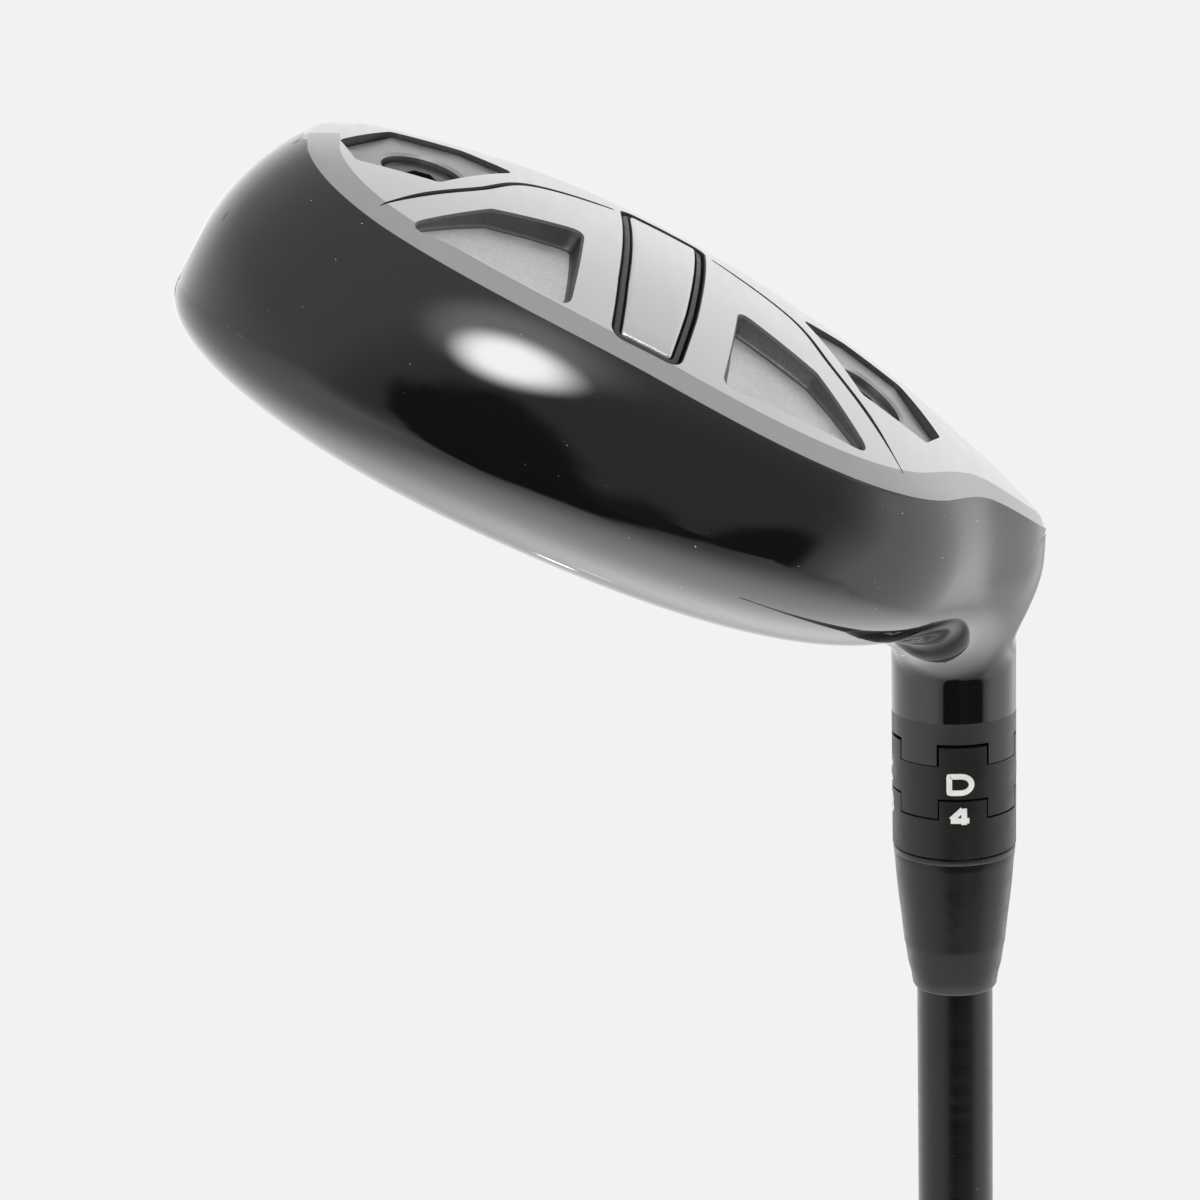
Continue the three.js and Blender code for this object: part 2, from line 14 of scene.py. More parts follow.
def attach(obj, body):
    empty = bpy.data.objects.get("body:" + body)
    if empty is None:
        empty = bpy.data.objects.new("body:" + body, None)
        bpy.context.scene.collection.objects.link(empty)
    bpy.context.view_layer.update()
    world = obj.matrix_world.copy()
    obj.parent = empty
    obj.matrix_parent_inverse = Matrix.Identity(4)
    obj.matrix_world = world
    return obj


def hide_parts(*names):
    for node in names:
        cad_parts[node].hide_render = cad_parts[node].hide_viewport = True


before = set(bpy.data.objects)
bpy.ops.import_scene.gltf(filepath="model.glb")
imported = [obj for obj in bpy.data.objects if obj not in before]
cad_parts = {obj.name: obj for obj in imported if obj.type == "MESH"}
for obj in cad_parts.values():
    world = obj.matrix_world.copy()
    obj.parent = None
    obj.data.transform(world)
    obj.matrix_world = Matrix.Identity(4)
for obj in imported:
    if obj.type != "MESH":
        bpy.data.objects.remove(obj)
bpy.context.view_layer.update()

MM = 0.001

# ---- driving dimensions, as in the CAD part ----
CLUB_LENGTH = 1022.0
LIE = math.radians(60)
LOFT = math.radians(21)
AXIS_X = 38.5
HAIRLINE = 0.01                    # seam between pieces that are painted over together

SOLE_X, SOLE_Y = 1.5, -3.0
SOLE_TOE, SOLE_HEEL, SOLE_REAR = 130.0, 165.0, 66.0

BODY_Y = -12.0
BODY_TOE, BODY_HEEL, BODY_REAR, BODY_FRONT = 45.4, 48.0, 31.2, 21.0
WAIST, WAIST_TILT, CROWN, CROWN_TILT, BELOW = 24.0, 0.1, 37.5, 0.055, 6.0
PLAN_POWER, CROWN_POWER, SKIRT_POWER = 2.25, 2.3, 2.15
REAR_LEAN, TOE_LEAN = 0.1, 0.11
FACE_Y, FACE_H, BULGE, FACE_EDGE, FACE_PLATE = 8.6, 3.0, 330.0, 3.0, 3.6
BEVEL = 0.6

HOSEL_R, HOSEL_ROOT_R, HOSEL_END = 7.3, 7.4, 44.4
PAINT_END = 39.3
PIVOT_HEIGHT = 33.0
FAN_RADIUS = 13.2
PIVOT_X = AXIS_X + PIVOT_HEIGHT / math.tan(LIE) - FAN_RADIUS / math.sin(LIE)
FAN_END = PIVOT_X + FAN_RADIUS * LIE
PIVOT_ALONG = (PIVOT_X - AXIS_X) * math.cos(LIE) + PIVOT_HEIGHT * math.sin(LIE)
SECTION_END = FAN_END + HOSEL_END - PIVOT_ALONG

RING_END, COLLAR_END, FERRULE_WAIST, FERRULE_END = 51.0, 55.9, 68.1, 73.6
PORT_R, PORT_SEAT, PORT_HOLE_R, BORE_START, BORE_R = 4.8, 15.5, 2.9, 18.5, 5.6
BOLT_R, BOLT_HEAD_R, BOLT_SOCKET, BOLT_END, WASHER_ROOM = 2.5, 4.4, 2.0, 31.5, 1.2
TANG_WIDTH, TANG_HEIGHT = 5.6, 2.3
SLEEVE_R, SLEEVE_BORE = 5.3, 4.65
SLEEVE_TIP, SHAFT_END = 20.5, 34.0
EDGE = 0.12                        # small edge break on the ring and the sleeve
GRIP_LENGTH = 267.0
SHAFT_BUTT, SHAFT_TIP = 7.6, 4.5
SHAFT_TAPER, SHAFT_PARALLEL = 285.0, 872.0

SCREW_X, SCREW_Y = 27.7, -15.6
POCKET_DEPTH = 3.9
PLATE_TOP, PLATE_THICKNESS, COUNTERBORE = -1.1, 2.5, 2.0
WEIGHT_SCREW_LENGTH, WEIGHT_SCREW_SHANK, WEIGHT_SCREW_SOCKET = 8.8, 1.9, 1.75
SCREW_HEAD_R = 4.35                # a shade inside the CAD heads, so the rims can be rounded
RECESS_SHALLOW, RECESS_SLOPE = 0.35, 2.1
CROWN_SEAM = 30.5
POCKET = [(17.8, -9.2), (25.8, -20.8), (35, -20.6), (37.2, -15.4), (32, -6.6), (24, -6.4)]
RECESS = [(27.4, -31.6), (19.6, -23.4), (9.6, -20.4), (9.2, -35.8)]
GROOVE = [(6.2, -7.4), (16.3, -12.3), (21.4, -19), (27, -24.8), (31.8, -30.4)]
BADGE = [(4.4, -6.2), (3.8, -27), (3.2, -36.2), (-3.2, -36.2), (-3.8, -27), (-4.4, -6.2)]


# ---- head surface, the same formula as the CAD part's ----
def smooth(t):
    t = np.clip(t, 0, 1)
    return t * t * (3 - 2 * t)


def soft_max(a, b, k):
    h = np.maximum(k - np.abs(a - b), 0) / k
    return np.maximum(a, b) + h * h * k / 4


def sole_height(x, y):
    radius = np.where(x < SOLE_X, SOLE_TOE, SOLE_HEEL)
    return (x - SOLE_X) ** 2 / (2 * radius) + (y - SOLE_Y) ** 2 / (2 * SOLE_REAR)


def body_field(x, y, h):
    waist = WAIST - WAIST_TILT * x
    drop = waist - h
    low = np.maximum(drop, 0)
    lean_x = x + TOE_LEAN * low * np.clip(-x / 30, 0, 1)
    lean_y = y - BODY_Y - REAR_LEAN * low
    half_x = np.where(lean_x < 0, BODY_TOE, BODY_HEEL)
    half_y = np.where(lean_y < 0, BODY_REAR, BODY_FRONT)
    n = PLAN_POWER
    plan = (np.abs(lean_x / half_x) ** n + np.abs(lean_y / half_y) ** n) ** (1 / n)
    crown = np.maximum(CROWN - CROWN_TILT * (x + 10) - waist, 4)
    half_h = np.where(drop < 0, crown, waist + BELOW)
    m = np.where(drop < 0, CROWN_POWER, SKIRT_POWER)
    return 20 * ((plan ** m + np.abs(drop / half_h) ** m) ** (1 / m) - 1)


def face_field(x, y, h):
    bulge = (x * x + (h - 15) ** 2) / (2 * BULGE)
    return (y - (FACE_Y - (h - FACE_H) * math.tan(LOFT) - bulge)) * math.cos(LOFT)


def casting_field(x, y, h):
    body = soft_max(body_field(x, y, h), face_field(x, y, h), FACE_EDGE)
    along = (x - AXIS_X) * math.cos(LIE) + h * math.sin(LIE)
    across = (x - AXIS_X) * math.sin(LIE) - h * math.cos(LIE)
    radius = HOSEL_R + (HOSEL_ROOT_R - HOSEL_R) * smooth((38 - along) / 30)
    hosel = np.hypot(across, y) - radius
    blend = 11 - 3 * smooth((across + 7) / 9) + 9 * smooth((2 - y) / 9)
    fade = 1 - smooth((along - 20) / 24)
    return -soft_max(-body, -hosel, 1 + (blend - 1) * fade)


def sole_field(x, y, h):
    return (sole_height(x, y) - h) * 0.93


def head_field(x, y, h):
    casting = casting_field(x, y, h)
    sole = sole_field(x, y, h)
    crisp = np.maximum(np.maximum(casting, sole), (casting + sole + BEVEL) * math.sqrt(0.5))
    rounded = soft_max(casting, sole, 4)
    return crisp + (rounded - crisp) * smooth((y + 6) / 8)


def section_point(u, y, s):
    turn = np.clip((u - PIVOT_X) / FAN_RADIUS, 0, LIE)
    past = np.maximum(0, u - FAN_END)
    x = np.minimum(u, PIVOT_X) + s * np.sin(turn) + past * math.cos(LIE)
    h = PIVOT_HEIGHT - s * np.cos(turn) + past * math.sin(LIE)
    return x, y + 0 * u, h


def cast(u, angle):
    """Surface points of the head at section u and angle, both arrays of one shape."""
    blend = smooth((u - 5) / (FAN_END - 17))
    y0 = BODY_Y * (1 - blend)
    depth = PIVOT_HEIGHT - (WAIST - WAIST_TILT * np.minimum(u, 0))
    s0 = depth + (FAN_RADIUS - depth) * blend

    def at(r):
        return section_point(u, y0 + r * np.cos(angle), s0 - r * np.sin(angle))

    low = np.zeros(u.shape)
    high = np.full(u.shape, 60.0)
    found = np.zeros(u.shape, bool)
    for r in np.arange(0.05, 60, 1.0):
        outside = head_field(*at(r)) > 0
        fresh = outside & ~found
        high[fresh] = r
        low[fresh] = max(r - 1, 0)
        found |= outside
    for _ in range(30):
        middle = (low + high) / 2
        outside = head_field(*at(middle)) > 0
        high = np.where(outside, middle, high)
        low = np.where(outside, low, middle)
    return np.stack(at((low + high) / 2), -1)


def find_angle(u, start, end, past):
    """Angle between start and end where past(points) turns true, one for each section."""
    low = np.full(u.shape, start)
    high = np.full(u.shape, end)
    for _ in range(24):
        middle = (low + high) / 2
        p = cast(u, middle)
        beyond = past(p[..., 0], p[..., 1], p[..., 2])
        high = np.where(beyond, middle, high)
        low = np.where(beyond, low, middle)
    return (low + high) / 2


# ---- mesh helpers ----
def head_matrix():
    """Head frame in millimetres to the club's frame in metres."""
    place = Matrix.Translation((-AXIS_X * math.sin(LIE), 0, CLUB_LENGTH + AXIS_X * math.cos(LIE)))
    return Matrix.Scale(MM, 4) @ place @ Matrix.Rotation(math.pi / 2 - LIE, 4, "Y")


HEAD = head_matrix()
CLUB = Matrix.Scale(MM, 4)
HEAD_TO_CLUB = Matrix.Scale(1 / MM, 4) @ HEAD


def new_mesh(name, points, faces, face_slots=None):
    """Every mesh starts with the head's slots, so slot numbers survive a boolean."""
    mesh = bpy.data.meshes.new(name)
    mesh.from_pydata([tuple(p) for p in points], [], faces)
    for look in HEAD_LOOKS:
        mesh.materials.append(LOOKS[look])
    if face_slots is not None:
        mesh.polygons.foreach_set("material_index", np.asarray(face_slots, np.int32))
    mesh.update()
    return mesh


def loft(rings, slots=0):
    """Closed solid through rings of equally many points; slots is one number, one for each
    band between rings, or an array of bands by columns."""
    rings = np.asarray(rings, float)
    rows, columns = rings.shape[:2]
    bands = np.zeros((rows - 1, columns), int)
    slots = np.asarray(slots)
    bands[:] = slots[:, None] if slots.ndim == 1 else slots
    faces = []
    face_slots = []
    for i in range(rows - 1):
        here, above = i * columns, (i + 1) * columns
        for j in range(columns):
            k = (j + 1) % columns
            faces.append((here + j, here + k, above + k, above + j))
            face_slots.append(bands[i, j])
    last = (rows - 1) * columns
    bottom, top = rows * columns, rows * columns + 1
    for j in range(columns):
        faces.append((bottom, (j + 1) % columns, j))
        face_slots.append(bands[0, j])
    for j in range(columns):
        faces.append((top, last + j, last + (j + 1) % columns))
        face_slots.append(bands[-1, j])
    points = np.vstack([rings.reshape(-1, 3), rings[0].mean(0), rings[-1].mean(0)])
    mesh = new_mesh("loft", points, faces, face_slots)
    if signed_volume(mesh) < 0:
        mesh.flip_normals()
    return mesh


def read(items, attribute, kind=np.int32, width=1):
    """One attribute of every vertex, edge, loop or face, as an array."""
    values = np.empty(len(items) * width, kind)
    items.foreach_get(attribute, values)
    return values.reshape(-1, width) if width > 1 else values


def signed_volume(mesh):
    work = bmesh.new()
    work.from_mesh(mesh)
    volume = work.calc_volume(signed=True)
    work.free()
    return volume


def lathe(profile, segments=96, slots=0):
    """Solid turned about Z from a closed list of (radius, height)."""
    angles = np.arange(segments) * 2 * math.pi / segments
    ring = np.stack([np.cos(angles), np.sin(angles)], -1)
    profile = np.asarray(profile, float)
    rows = len(profile)
    points = []
    for r, height in profile:
        points.append(np.column_stack([ring * r, np.full(segments, height)]))
    points = np.vstack(points)
    slots = np.broadcast_to(np.asarray(slots), (rows,))
    faces = []
    face_slots = []
    for i in range(rows):
        k = (i + 1) % rows
        if profile[i, 0] < 1e-6 and profile[k, 0] < 1e-6:
            continue
        for j in range(segments):
            n = (j + 1) % segments
            here, there = i * segments, k * segments
            faces.append((here + j, here + n, there + n, there + j))
            face_slots.append(slots[i])
    mesh = new_mesh("lathe", points, faces, face_slots)
    work = bmesh.new()
    work.from_mesh(mesh)
    bmesh.ops.remove_doubles(work, verts=work.verts, dist=1e-5)
    bmesh.ops.dissolve_degenerate(work, edges=work.edges, dist=1e-6)
    work.to_mesh(mesh)
    work.free()
    if signed_volume(mesh) < 0:
        mesh.flip_normals()
    return mesh


def moved(mesh, matrix):
    copy = mesh.copy()
    copy.transform(matrix)
    return copy


def boolean(mesh, tools, operation="DIFFERENCE"):
    """Cuts tools out of a mesh, or keeps what they share."""
    for tool in tools if isinstance(tools, (list, tuple)) else [tools]:
        target = bpy.data.objects.new("target", mesh)
        cutter = bpy.data.objects.new("cutter", tool)
        for obj in (target, cutter):
            bpy.context.scene.collection.objects.link(obj)
        modifier = target.modifiers.new("cut", "BOOLEAN")
        modifier.operation = operation
        modifier.solver = "MANIFOLD"
        modifier.object = cutter
        graph = bpy.context.evaluated_depsgraph_get()
        mesh = bpy.data.meshes.new_from_object(target.evaluated_get(graph))
        for obj in (target, cutter):
            bpy.data.objects.remove(obj)
    return mesh


def box_mesh(low, high, slot=0):
    corners = [(low[0], low[1]), (high[0], low[1]), (high[0], high[1]), (low[0], high[1])]
    rings = [[(x, y, z) for x, y in corners] for z in (low[2], high[2])]
    return loft(rings, slot)


# ---- outlines in the plan of the sole ----
def mirrored(points):
    return [(-x, y) for x, y in points]


def corner_reach(before, after, radius):
    """Distance from a corner to where its rounding starts, along both sides."""
    before_length, after_length = np.linalg.norm(before), np.linalg.norm(after)
    cosine = before @ after / before_length / after_length
    half = math.acos(np.clip(cosine, -1, 1)) / 2
    return min(radius / math.tan(half), 0.45 * before_length, 0.45 * after_length)


def rounded(outline, radius, step=0.5, arc=6):
    """Dense outline with round corners."""
    points = [np.array(p, float) for p in outline]
    count = len(points)
    dense = []
    for i, corner in enumerate(points):
        following = points[(i + 1) % count]
        before, after = points[i - 1] - corner, following - corner
        reach = corner_reach(before, after, radius)
        start = corner + before / np.linalg.norm(before) * reach
        end = corner + after / np.linalg.norm(after) * reach
        for k in range(arc + 1):
            t = k / arc
            dense.append((1 - t) ** 2 * start + 2 * t * (1 - t) * corner + t * t * end)
        next_before, next_after = corner - following, points[(i + 2) % count] - following
        next_reach = corner_reach(next_before, next_after, radius)
        target = following + next_before / np.linalg.norm(next_before) * next_reach
        pieces = max(1, int(np.linalg.norm(target - end) / step))
        for k in range(1, pieces):
            dense.append(end + (target - end) * k / pieces)
    return np.array(dense)


def grown(outline, distance):
    """Outline moved outwards by a distance."""
    before = np.roll(outline, 1, 0)
    after = np.roll(outline, -1, 0)
    tangent = after - before
    tangent /= np.linalg.norm(tangent, axis=1)[:, None]
    normal = np.stack([tangent[:, 1], -tangent[:, 0]], -1)
    x, y = outline[:, 0], outline[:, 1]
    area = np.sum(x * np.roll(y, -1) - np.roll(x, -1) * y)
    return outline + normal * distance * (1 if area > 0 else -1)


def on_sole(outline, depth):
    x, y = outline[:, 0], outline[:, 1]
    return np.column_stack([x, y, -sole_height(x, y) - depth])


def sole_pocket(outline, depth, wall_slot, floor_slot, lip=0.25, fillet=0.35):
    """Cutter with a chamfered mouth and filleted foot; depth is a function of x and y."""
    rings = [on_sole(grown(outline, lip + 0.1), -3), on_sole(grown(outline, lip + 0.1), -0.1),
             on_sole(outline, lip)]
    slots = [wall_slot, wall_slot]
    floor = depth(outline[:, 0], outline[:, 1])
    room = np.maximum(floor - lip, 0.02)
    radius = np.minimum(fillet, room)
    for k in range(5):
        turn = k / 4 * math.pi / 2
        inset = grown(outline, -fillet * (1 - math.cos(turn)) - 0.02)
        rings.append(on_sole(inset, floor - radius * (1 - math.sin(turn))))
        slots.append(wall_slot)
    centre = outline.mean(0)
    inner = grown(outline, -fillet - 0.02)
    for scale in (0.8, 0.55, 0.3, 0.1):
        ring = centre + (inner - centre) * scale
        rings.append(on_sole(ring, depth(ring[:, 0], ring[:, 1])))
        slots.append(floor_slot)
    return loft(rings, np.array(slots))


def sole_plate(outline, top, bottom, edge):
    """Thin plate that follows the sole, with a rounded rim."""
    centre = outline.mean(0)
    rings = []
    for scale in (0.1, 0.35, 0.6, 0.85):
        rings.append(on_sole(centre + (outline - centre) * scale, top))
    for k in range(4):
        turn = k / 3 * math.pi / 2
        inset = grown(outline, -edge * (1 - math.sin(turn)))
        rings.append(on_sole(inset, top + edge * (1 - math.cos(turn))))
    for scale in (1.0, 0.6, 0.1):
        rings.append(on_sole(centre + (outline - centre) * scale, bottom))
    return loft(rings)


def smooth_path(points, steps=10):
    """Catmull-Rom curve through points."""
    points = np.array(points, float)
    ends = np.vstack([2 * points[0] - points[1], points, 2 * points[-1] - points[-2]])
    result = []
    for i in range(1, len(ends) - 2):
        a, b, c, d = ends[i - 1:i + 3]
        for k in range(steps):
            t = k / steps
            result.append(0.5 * (2 * b + (c - a) * t + (2 * a - 5 * b + 4 * c - d) * t * t
                                 + (3 * b - a - 3 * c + d) * t ** 3))
    result.append(points[-1])
    return np.array(result)


def groove_cutter(path, width, depth, slot):
    """Shallow groove along a path, narrower at both ends."""
    line = smooth_path(path)
    tangent = np.gradient(line, axis=0)
    tangent /= np.linalg.norm(tangent, axis=1)[:, None]
    normal = np.stack([-tangent[:, 1], tangent[:, 0]], -1)
    count = len(line)
    rings = []
    for i in range(count):
        size = 0.25 + 0.75 * smooth((count - 1 - i) / 12) * smooth((i + 3) / 6)
        section = [(-1.1, 3), (-1.1, 0.08), (-0.75, -0.15), (-0.5, -depth), (0.5, -depth),
                   (0.75, -0.15), (1.1, 0.08), (1.1, 3)]
        ring = []
        for across, up in section:
            x, y = line[i] + normal[i] * across * width / 2 * size
            drop = -up * size if up < 0 else -up
            ring.append((x, y, -float(sole_height(x, y)) - drop))
        rings.append(ring)
    return loft(rings, slot)


# ---- materials ----
class Look:
    """A Principled material with helpers for procedural detail."""

    def __init__(self, name, **values):
        self.material = bpy.data.materials.new(name)
        self.material.use_nodes = True
        self.tree = self.material.node_tree
        self.shader = self.tree.nodes["Principled BSDF"]
        self.set(**values)
        self.coordinates = self.node("ShaderNodeTexCoord").outputs["Object"]

    def set(self, **values):
        for key, value in values.items():
            self.shader.inputs[key.replace("_", " ")].default_value = value

    def node(self, kind, **values):
        node = self.tree.nodes.new(kind)
        for key, value in values.items():
            setattr(node, key, value)
        return node

    def link(self, source, target):
        self.tree.links.new(source, target)

    def mapping(self, scale):
        node = self.node("ShaderNodeMapping")
        node.inputs["Scale"].default_value = scale
        self.link(self.coordinates, node.inputs["Vector"])
        return node.outputs["Vector"]

    def noise(self, scale, detail=3, roughness=0.5, vector=None):
        node = self.node("ShaderNodeTexNoise")
        node.inputs["Scale"].default_value = scale
        node.inputs["Detail"].default_value = detail
        node.inputs["Roughness"].default_value = roughness
        self.link(vector or self.coordinates, node.inputs["Vector"])
        return node.outputs["Fac"]

    def ramp(self, value, low, high, out_low, out_high):
        node = self.node("ShaderNodeMapRange")
        return self.remap(node, value, (low, high, out_low, out_high))

    def remap(self, node, value, limits):
        for key, number in zip(("From Min", "From Max", "To Min", "To Max"), limits):
            node.inputs[key].default_value = number
        self.link(value, node.inputs["Value"])
        return node.outputs["Result"]

    def math(self, operation, a, b):
        node = self.node("ShaderNodeMath", operation=operation)
        for value, socket in ((a, node.inputs[0]), (b, node.inputs[1])):
            if isinstance(value, (int, float)):
                socket.default_value = value
            else:
                self.link(value, socket)
        return node.outputs[0]

    def mix(self, factor, a, b):
        node = self.node("ShaderNodeMix", data_type="RGBA")
        for value, socket in ((factor, node.inputs[0]), (a, node.inputs[6]), (b, node.inputs[7])):
            if isinstance(value, (int, float, tuple)):
                socket.default_value = value
            else:
                self.link(value, socket)
        return node.outputs[2]

    def bump(self, height, distance, strength=1.0, normal=None):
        node = self.node("ShaderNodeBump")
        node.inputs["Strength"].default_value = strength
        node.inputs["Distance"].default_value = distance
        self.link(height, node.inputs["Height"])
        if normal is not None:
            self.link(normal, node.inputs["Normal"])
        return node.outputs["Normal"]

    def to(self, socket, output):
        self.link(output, self.shader.inputs[socket])


def grey(value, tint=(1, 1, 1)):
    return (value * tint[0], value * tint[1], value * tint[2], 1)


def paint_look():
    """Gloss black with a faint orange peel and specks of dust."""
    look = Look("gloss_black_paint", IOR=1.5)
    dust = look.ramp(look.noise(2500, 1, 0.4), 0.81, 0.83, 0, 1)
    base = look.mix(look.noise(60, 2), grey(0.0035), grey(0.006, (1, 1, 1.05)))
    look.to("Base Color", look.mix(dust, base, grey(0.35)))
    look.to("Roughness", look.ramp(look.noise(260, 3), 0.3, 0.7, 0.03, 0.06))
    look.to("Normal", look.bump(look.noise(420, 1, 0.3), 0.000004, 0.2))
    return look.material


def satin_look(name, shade, roughness, grain, metallic=1.0):
    """Cast and polished metal with fine directional grain."""
    look = Look(name, Metallic=metallic)
    along = look.mapping((900, 160, 400))
    fine = look.noise(1.0, 3, 0.6, along)
    cloud = look.noise(90, 3)
    tone = look.math("ADD", look.math("MULTIPLY", fine, 0.5), look.math("MULTIPLY", cloud, 0.5))
    look.to("Base Color", look.mix(tone, grey(shade * 0.92), grey(shade * 1.05, (1, 1, 1.01))))
    look.to("Roughness", look.ramp(fine, 0.25, 0.75, roughness - grain, roughness + grain))
    look.to("Normal", look.bump(fine, 0.000006, 0.35))
    return look.material


def blasted_look(name, shade, roughness):
    """Grainy as-cast metal in the recesses; a low shade paints the walls' shadow into their colour.
    """
    look = Look(name, Metallic=0.85, Roughness=roughness)
    grain = look.noise(2600, 2, 0.7)
    patch = look.noise(350, 2)
    warm = (1, 0.995, 0.98)
    look.to("Base Color", look.mix(grain, grey(shade * 0.72, warm), grey(shade * 1.2, warm)))
    look.to("Roughness", look.ramp(patch, 0.3, 0.7, roughness - 0.08, roughness + 0.08))
    look.to("Normal", look.bump(grain, 0.00005, 0.8))
    return look.material


def dark_look(name, shade, roughness, tint=(1, 1, 1), metallic=0.0):
    """Satin surface with a fine mottled grain."""
    look = Look(name, Metallic=metallic, IOR=1.33)
    grain = look.noise(500, 3, 0.6)
    look.to("Base Color", look.mix(grain, grey(shade * 0.8, tint), grey(shade * 1.2, tint)))
    look.to("Roughness", look.ramp(grain, 0.3, 0.7, roughness - 0.07, roughness + 0.07))
    look.to("Normal", look.bump(grain, 0.000015, 0.4))
    return look.material


def grip_look():
    """Rubber moulded with rows of small diamonds, scuffed here and there."""
    look = Look("grip_rubber")
    split = look.node("ShaderNodeSeparateXYZ")
    look.link(look.coordinates, split.inputs["Vector"])
    around = look.math("ARCTAN2", split.outputs["Y"], split.outputs["X"])
    along = look.math("MULTIPLY", split.outputs["Z"], 900.0)
    turned = look.math("MULTIPLY", around, 9.0)
    first = look.math("SINE", look.math("ADD", along, turned), 0)
    second = look.math("SINE", look.math("SUBTRACT", along, turned), 0)
    lattice = look.math("MAXIMUM", look.math("ABSOLUTE", first, 0), look.math("ABSOLUTE", second, 0))
    cuts = look.ramp(lattice, 0.2, 0.45, 0.0, 1.0)
    fine = look.noise(2400, 2, 0.6)
    scuff = look.ramp(look.noise(45, 3), 0.5, 0.75, 0, 1)
    look.to("Base Color", look.mix(scuff, grey(0.013), grey(0.03)))
    look.to("Roughness", look.ramp(fine, 0.3, 0.7, 0.66, 0.85))
    look.to("Normal", look.bump(fine, 0.00003, 0.5, look.bump(cuts, 0.0004, 0.8)))
    return look.material


def shaft_look():
    """Clear lacquer over wound fibre, with faint wraps and fine dust."""
    look = Look("shaft_lacquer", IOR=1.33)
    wraps = look.noise(1.0, 2, 0.5, look.mapping((60, 60, 900)))
    dust = look.ramp(look.noise(2600, 1, 0.4), 0.8, 0.82, 0, 1)
    look.to("Base Color", look.mix(dust, look.mix(wraps, grey(0.0035), grey(0.0055)), grey(0.12)))
    look.to("Roughness", look.ramp(wraps, 0.3, 0.7, 0.22, 0.32))
    look.to("Normal", look.bump(wraps, 0.000004, 0.3))
    return look.material


# the WALL, POCKET_WALL and HOLE slots carry looks with painted shade
PAINT, BEVELLED, SOLE, WALL, FLOOR, POCKET_WALL, HOLE, COLLAR, SEAM, FACE = range(10)
SKIN = (PAINT, BEVELLED, SOLE, COLLAR, FACE)
LOOKS = {
    "paint": paint_look(),
    "bevel": satin_look("bevel_metal", 0.35, 0.3, 0.04),
    "sole": satin_look("satin_sole_metal", 0.55, 0.36, 0.05),
    # painted shade: the recess walls are the floor's blasted metal at a far darker shade, for the
    # shadow on them
    "wall": blasted_look("recess_wall_painted_shade", 0.09, 0.5),
    "floor": blasted_look("blasted_recess_metal", 0.5, 0.5),
    # painted shade: the weight pocket walls are darkened the same way, for the shadow inside the
    # pocket
    "pocket": blasted_look("pocket_wall_painted_shade", 0.1, 0.5),
    # painted shade: near-black metal inside holes, bores, hosel notches, the sole grooves and the
    # face score lines
    "hole": dark_look("hole_painted_shade", 0.03, 0.5, metallic=0.6),
    "collar": dark_look("hosel_collar_metal", 0.022, 0.4, (1, 1, 0.94)),
    "face": satin_look("face_steel", 0.16, 0.4, 0.06),
    "badge": satin_look("badge_metal", 0.5, 0.3, 0.04),
    "gasket": dark_look("badge_gasket_rubber", 0.03, 0.5),
    "weight": satin_look("weight_metal", 0.3, 0.42, 0.05),
    "screw": dark_look("screw_steel", 0.05, 0.35, metallic=0.9),
    "ring": dark_look("anodised_ring", 0.006, 0.42, (1, 1, 1.04)),
    "ferrule": dark_look("ferrule_plastic", 0.004, 0.3),
    "shaft": shaft_look(),
    "mark": dark_look("index_mark_paint", 0.62, 0.55, (1, 0.97, 0.9)),
    "grip": grip_look(),
    "tape": dark_look("tape_fabric", 0.1, 0.8),
}
HEAD_LOOKS = ["paint", "bevel", "sole", "wall", "floor", "pocket", "hole", "collar", "paint", "face"]


# ---- placing pieces ----
def smooth_normals(mesh):
    """Marks the sharp edges and shades the rest smooth."""
    mesh.polygons.foreach_set("use_smooth", np.ones(len(mesh.polygons), bool))
    mesh.set_sharp_from_angle(angle=math.radians(32))


def piece(name, mesh, matrix, looks, body, node, shaded=False):
    """Makes a finished object that rides on a body, and stands for a CAD node if one is named."""
    mesh = mesh.copy()
    mesh.name = name
    if not shaded:
        mesh.transform(matrix)
        smooth_normals(mesh)
    slots = read(mesh.polygons, "material_index")
    mesh.materials.clear()
    for look in looks:
        mesh.materials.append(LOOKS[look])
    mesh.polygons.foreach_set("material_index", np.minimum(slots, len(looks) - 1))
    obj = bpy.data.objects.new(name, mesh)
    bpy.context.scene.collection.objects.link(obj)
    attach(obj, body)
    if node:
        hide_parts(node)


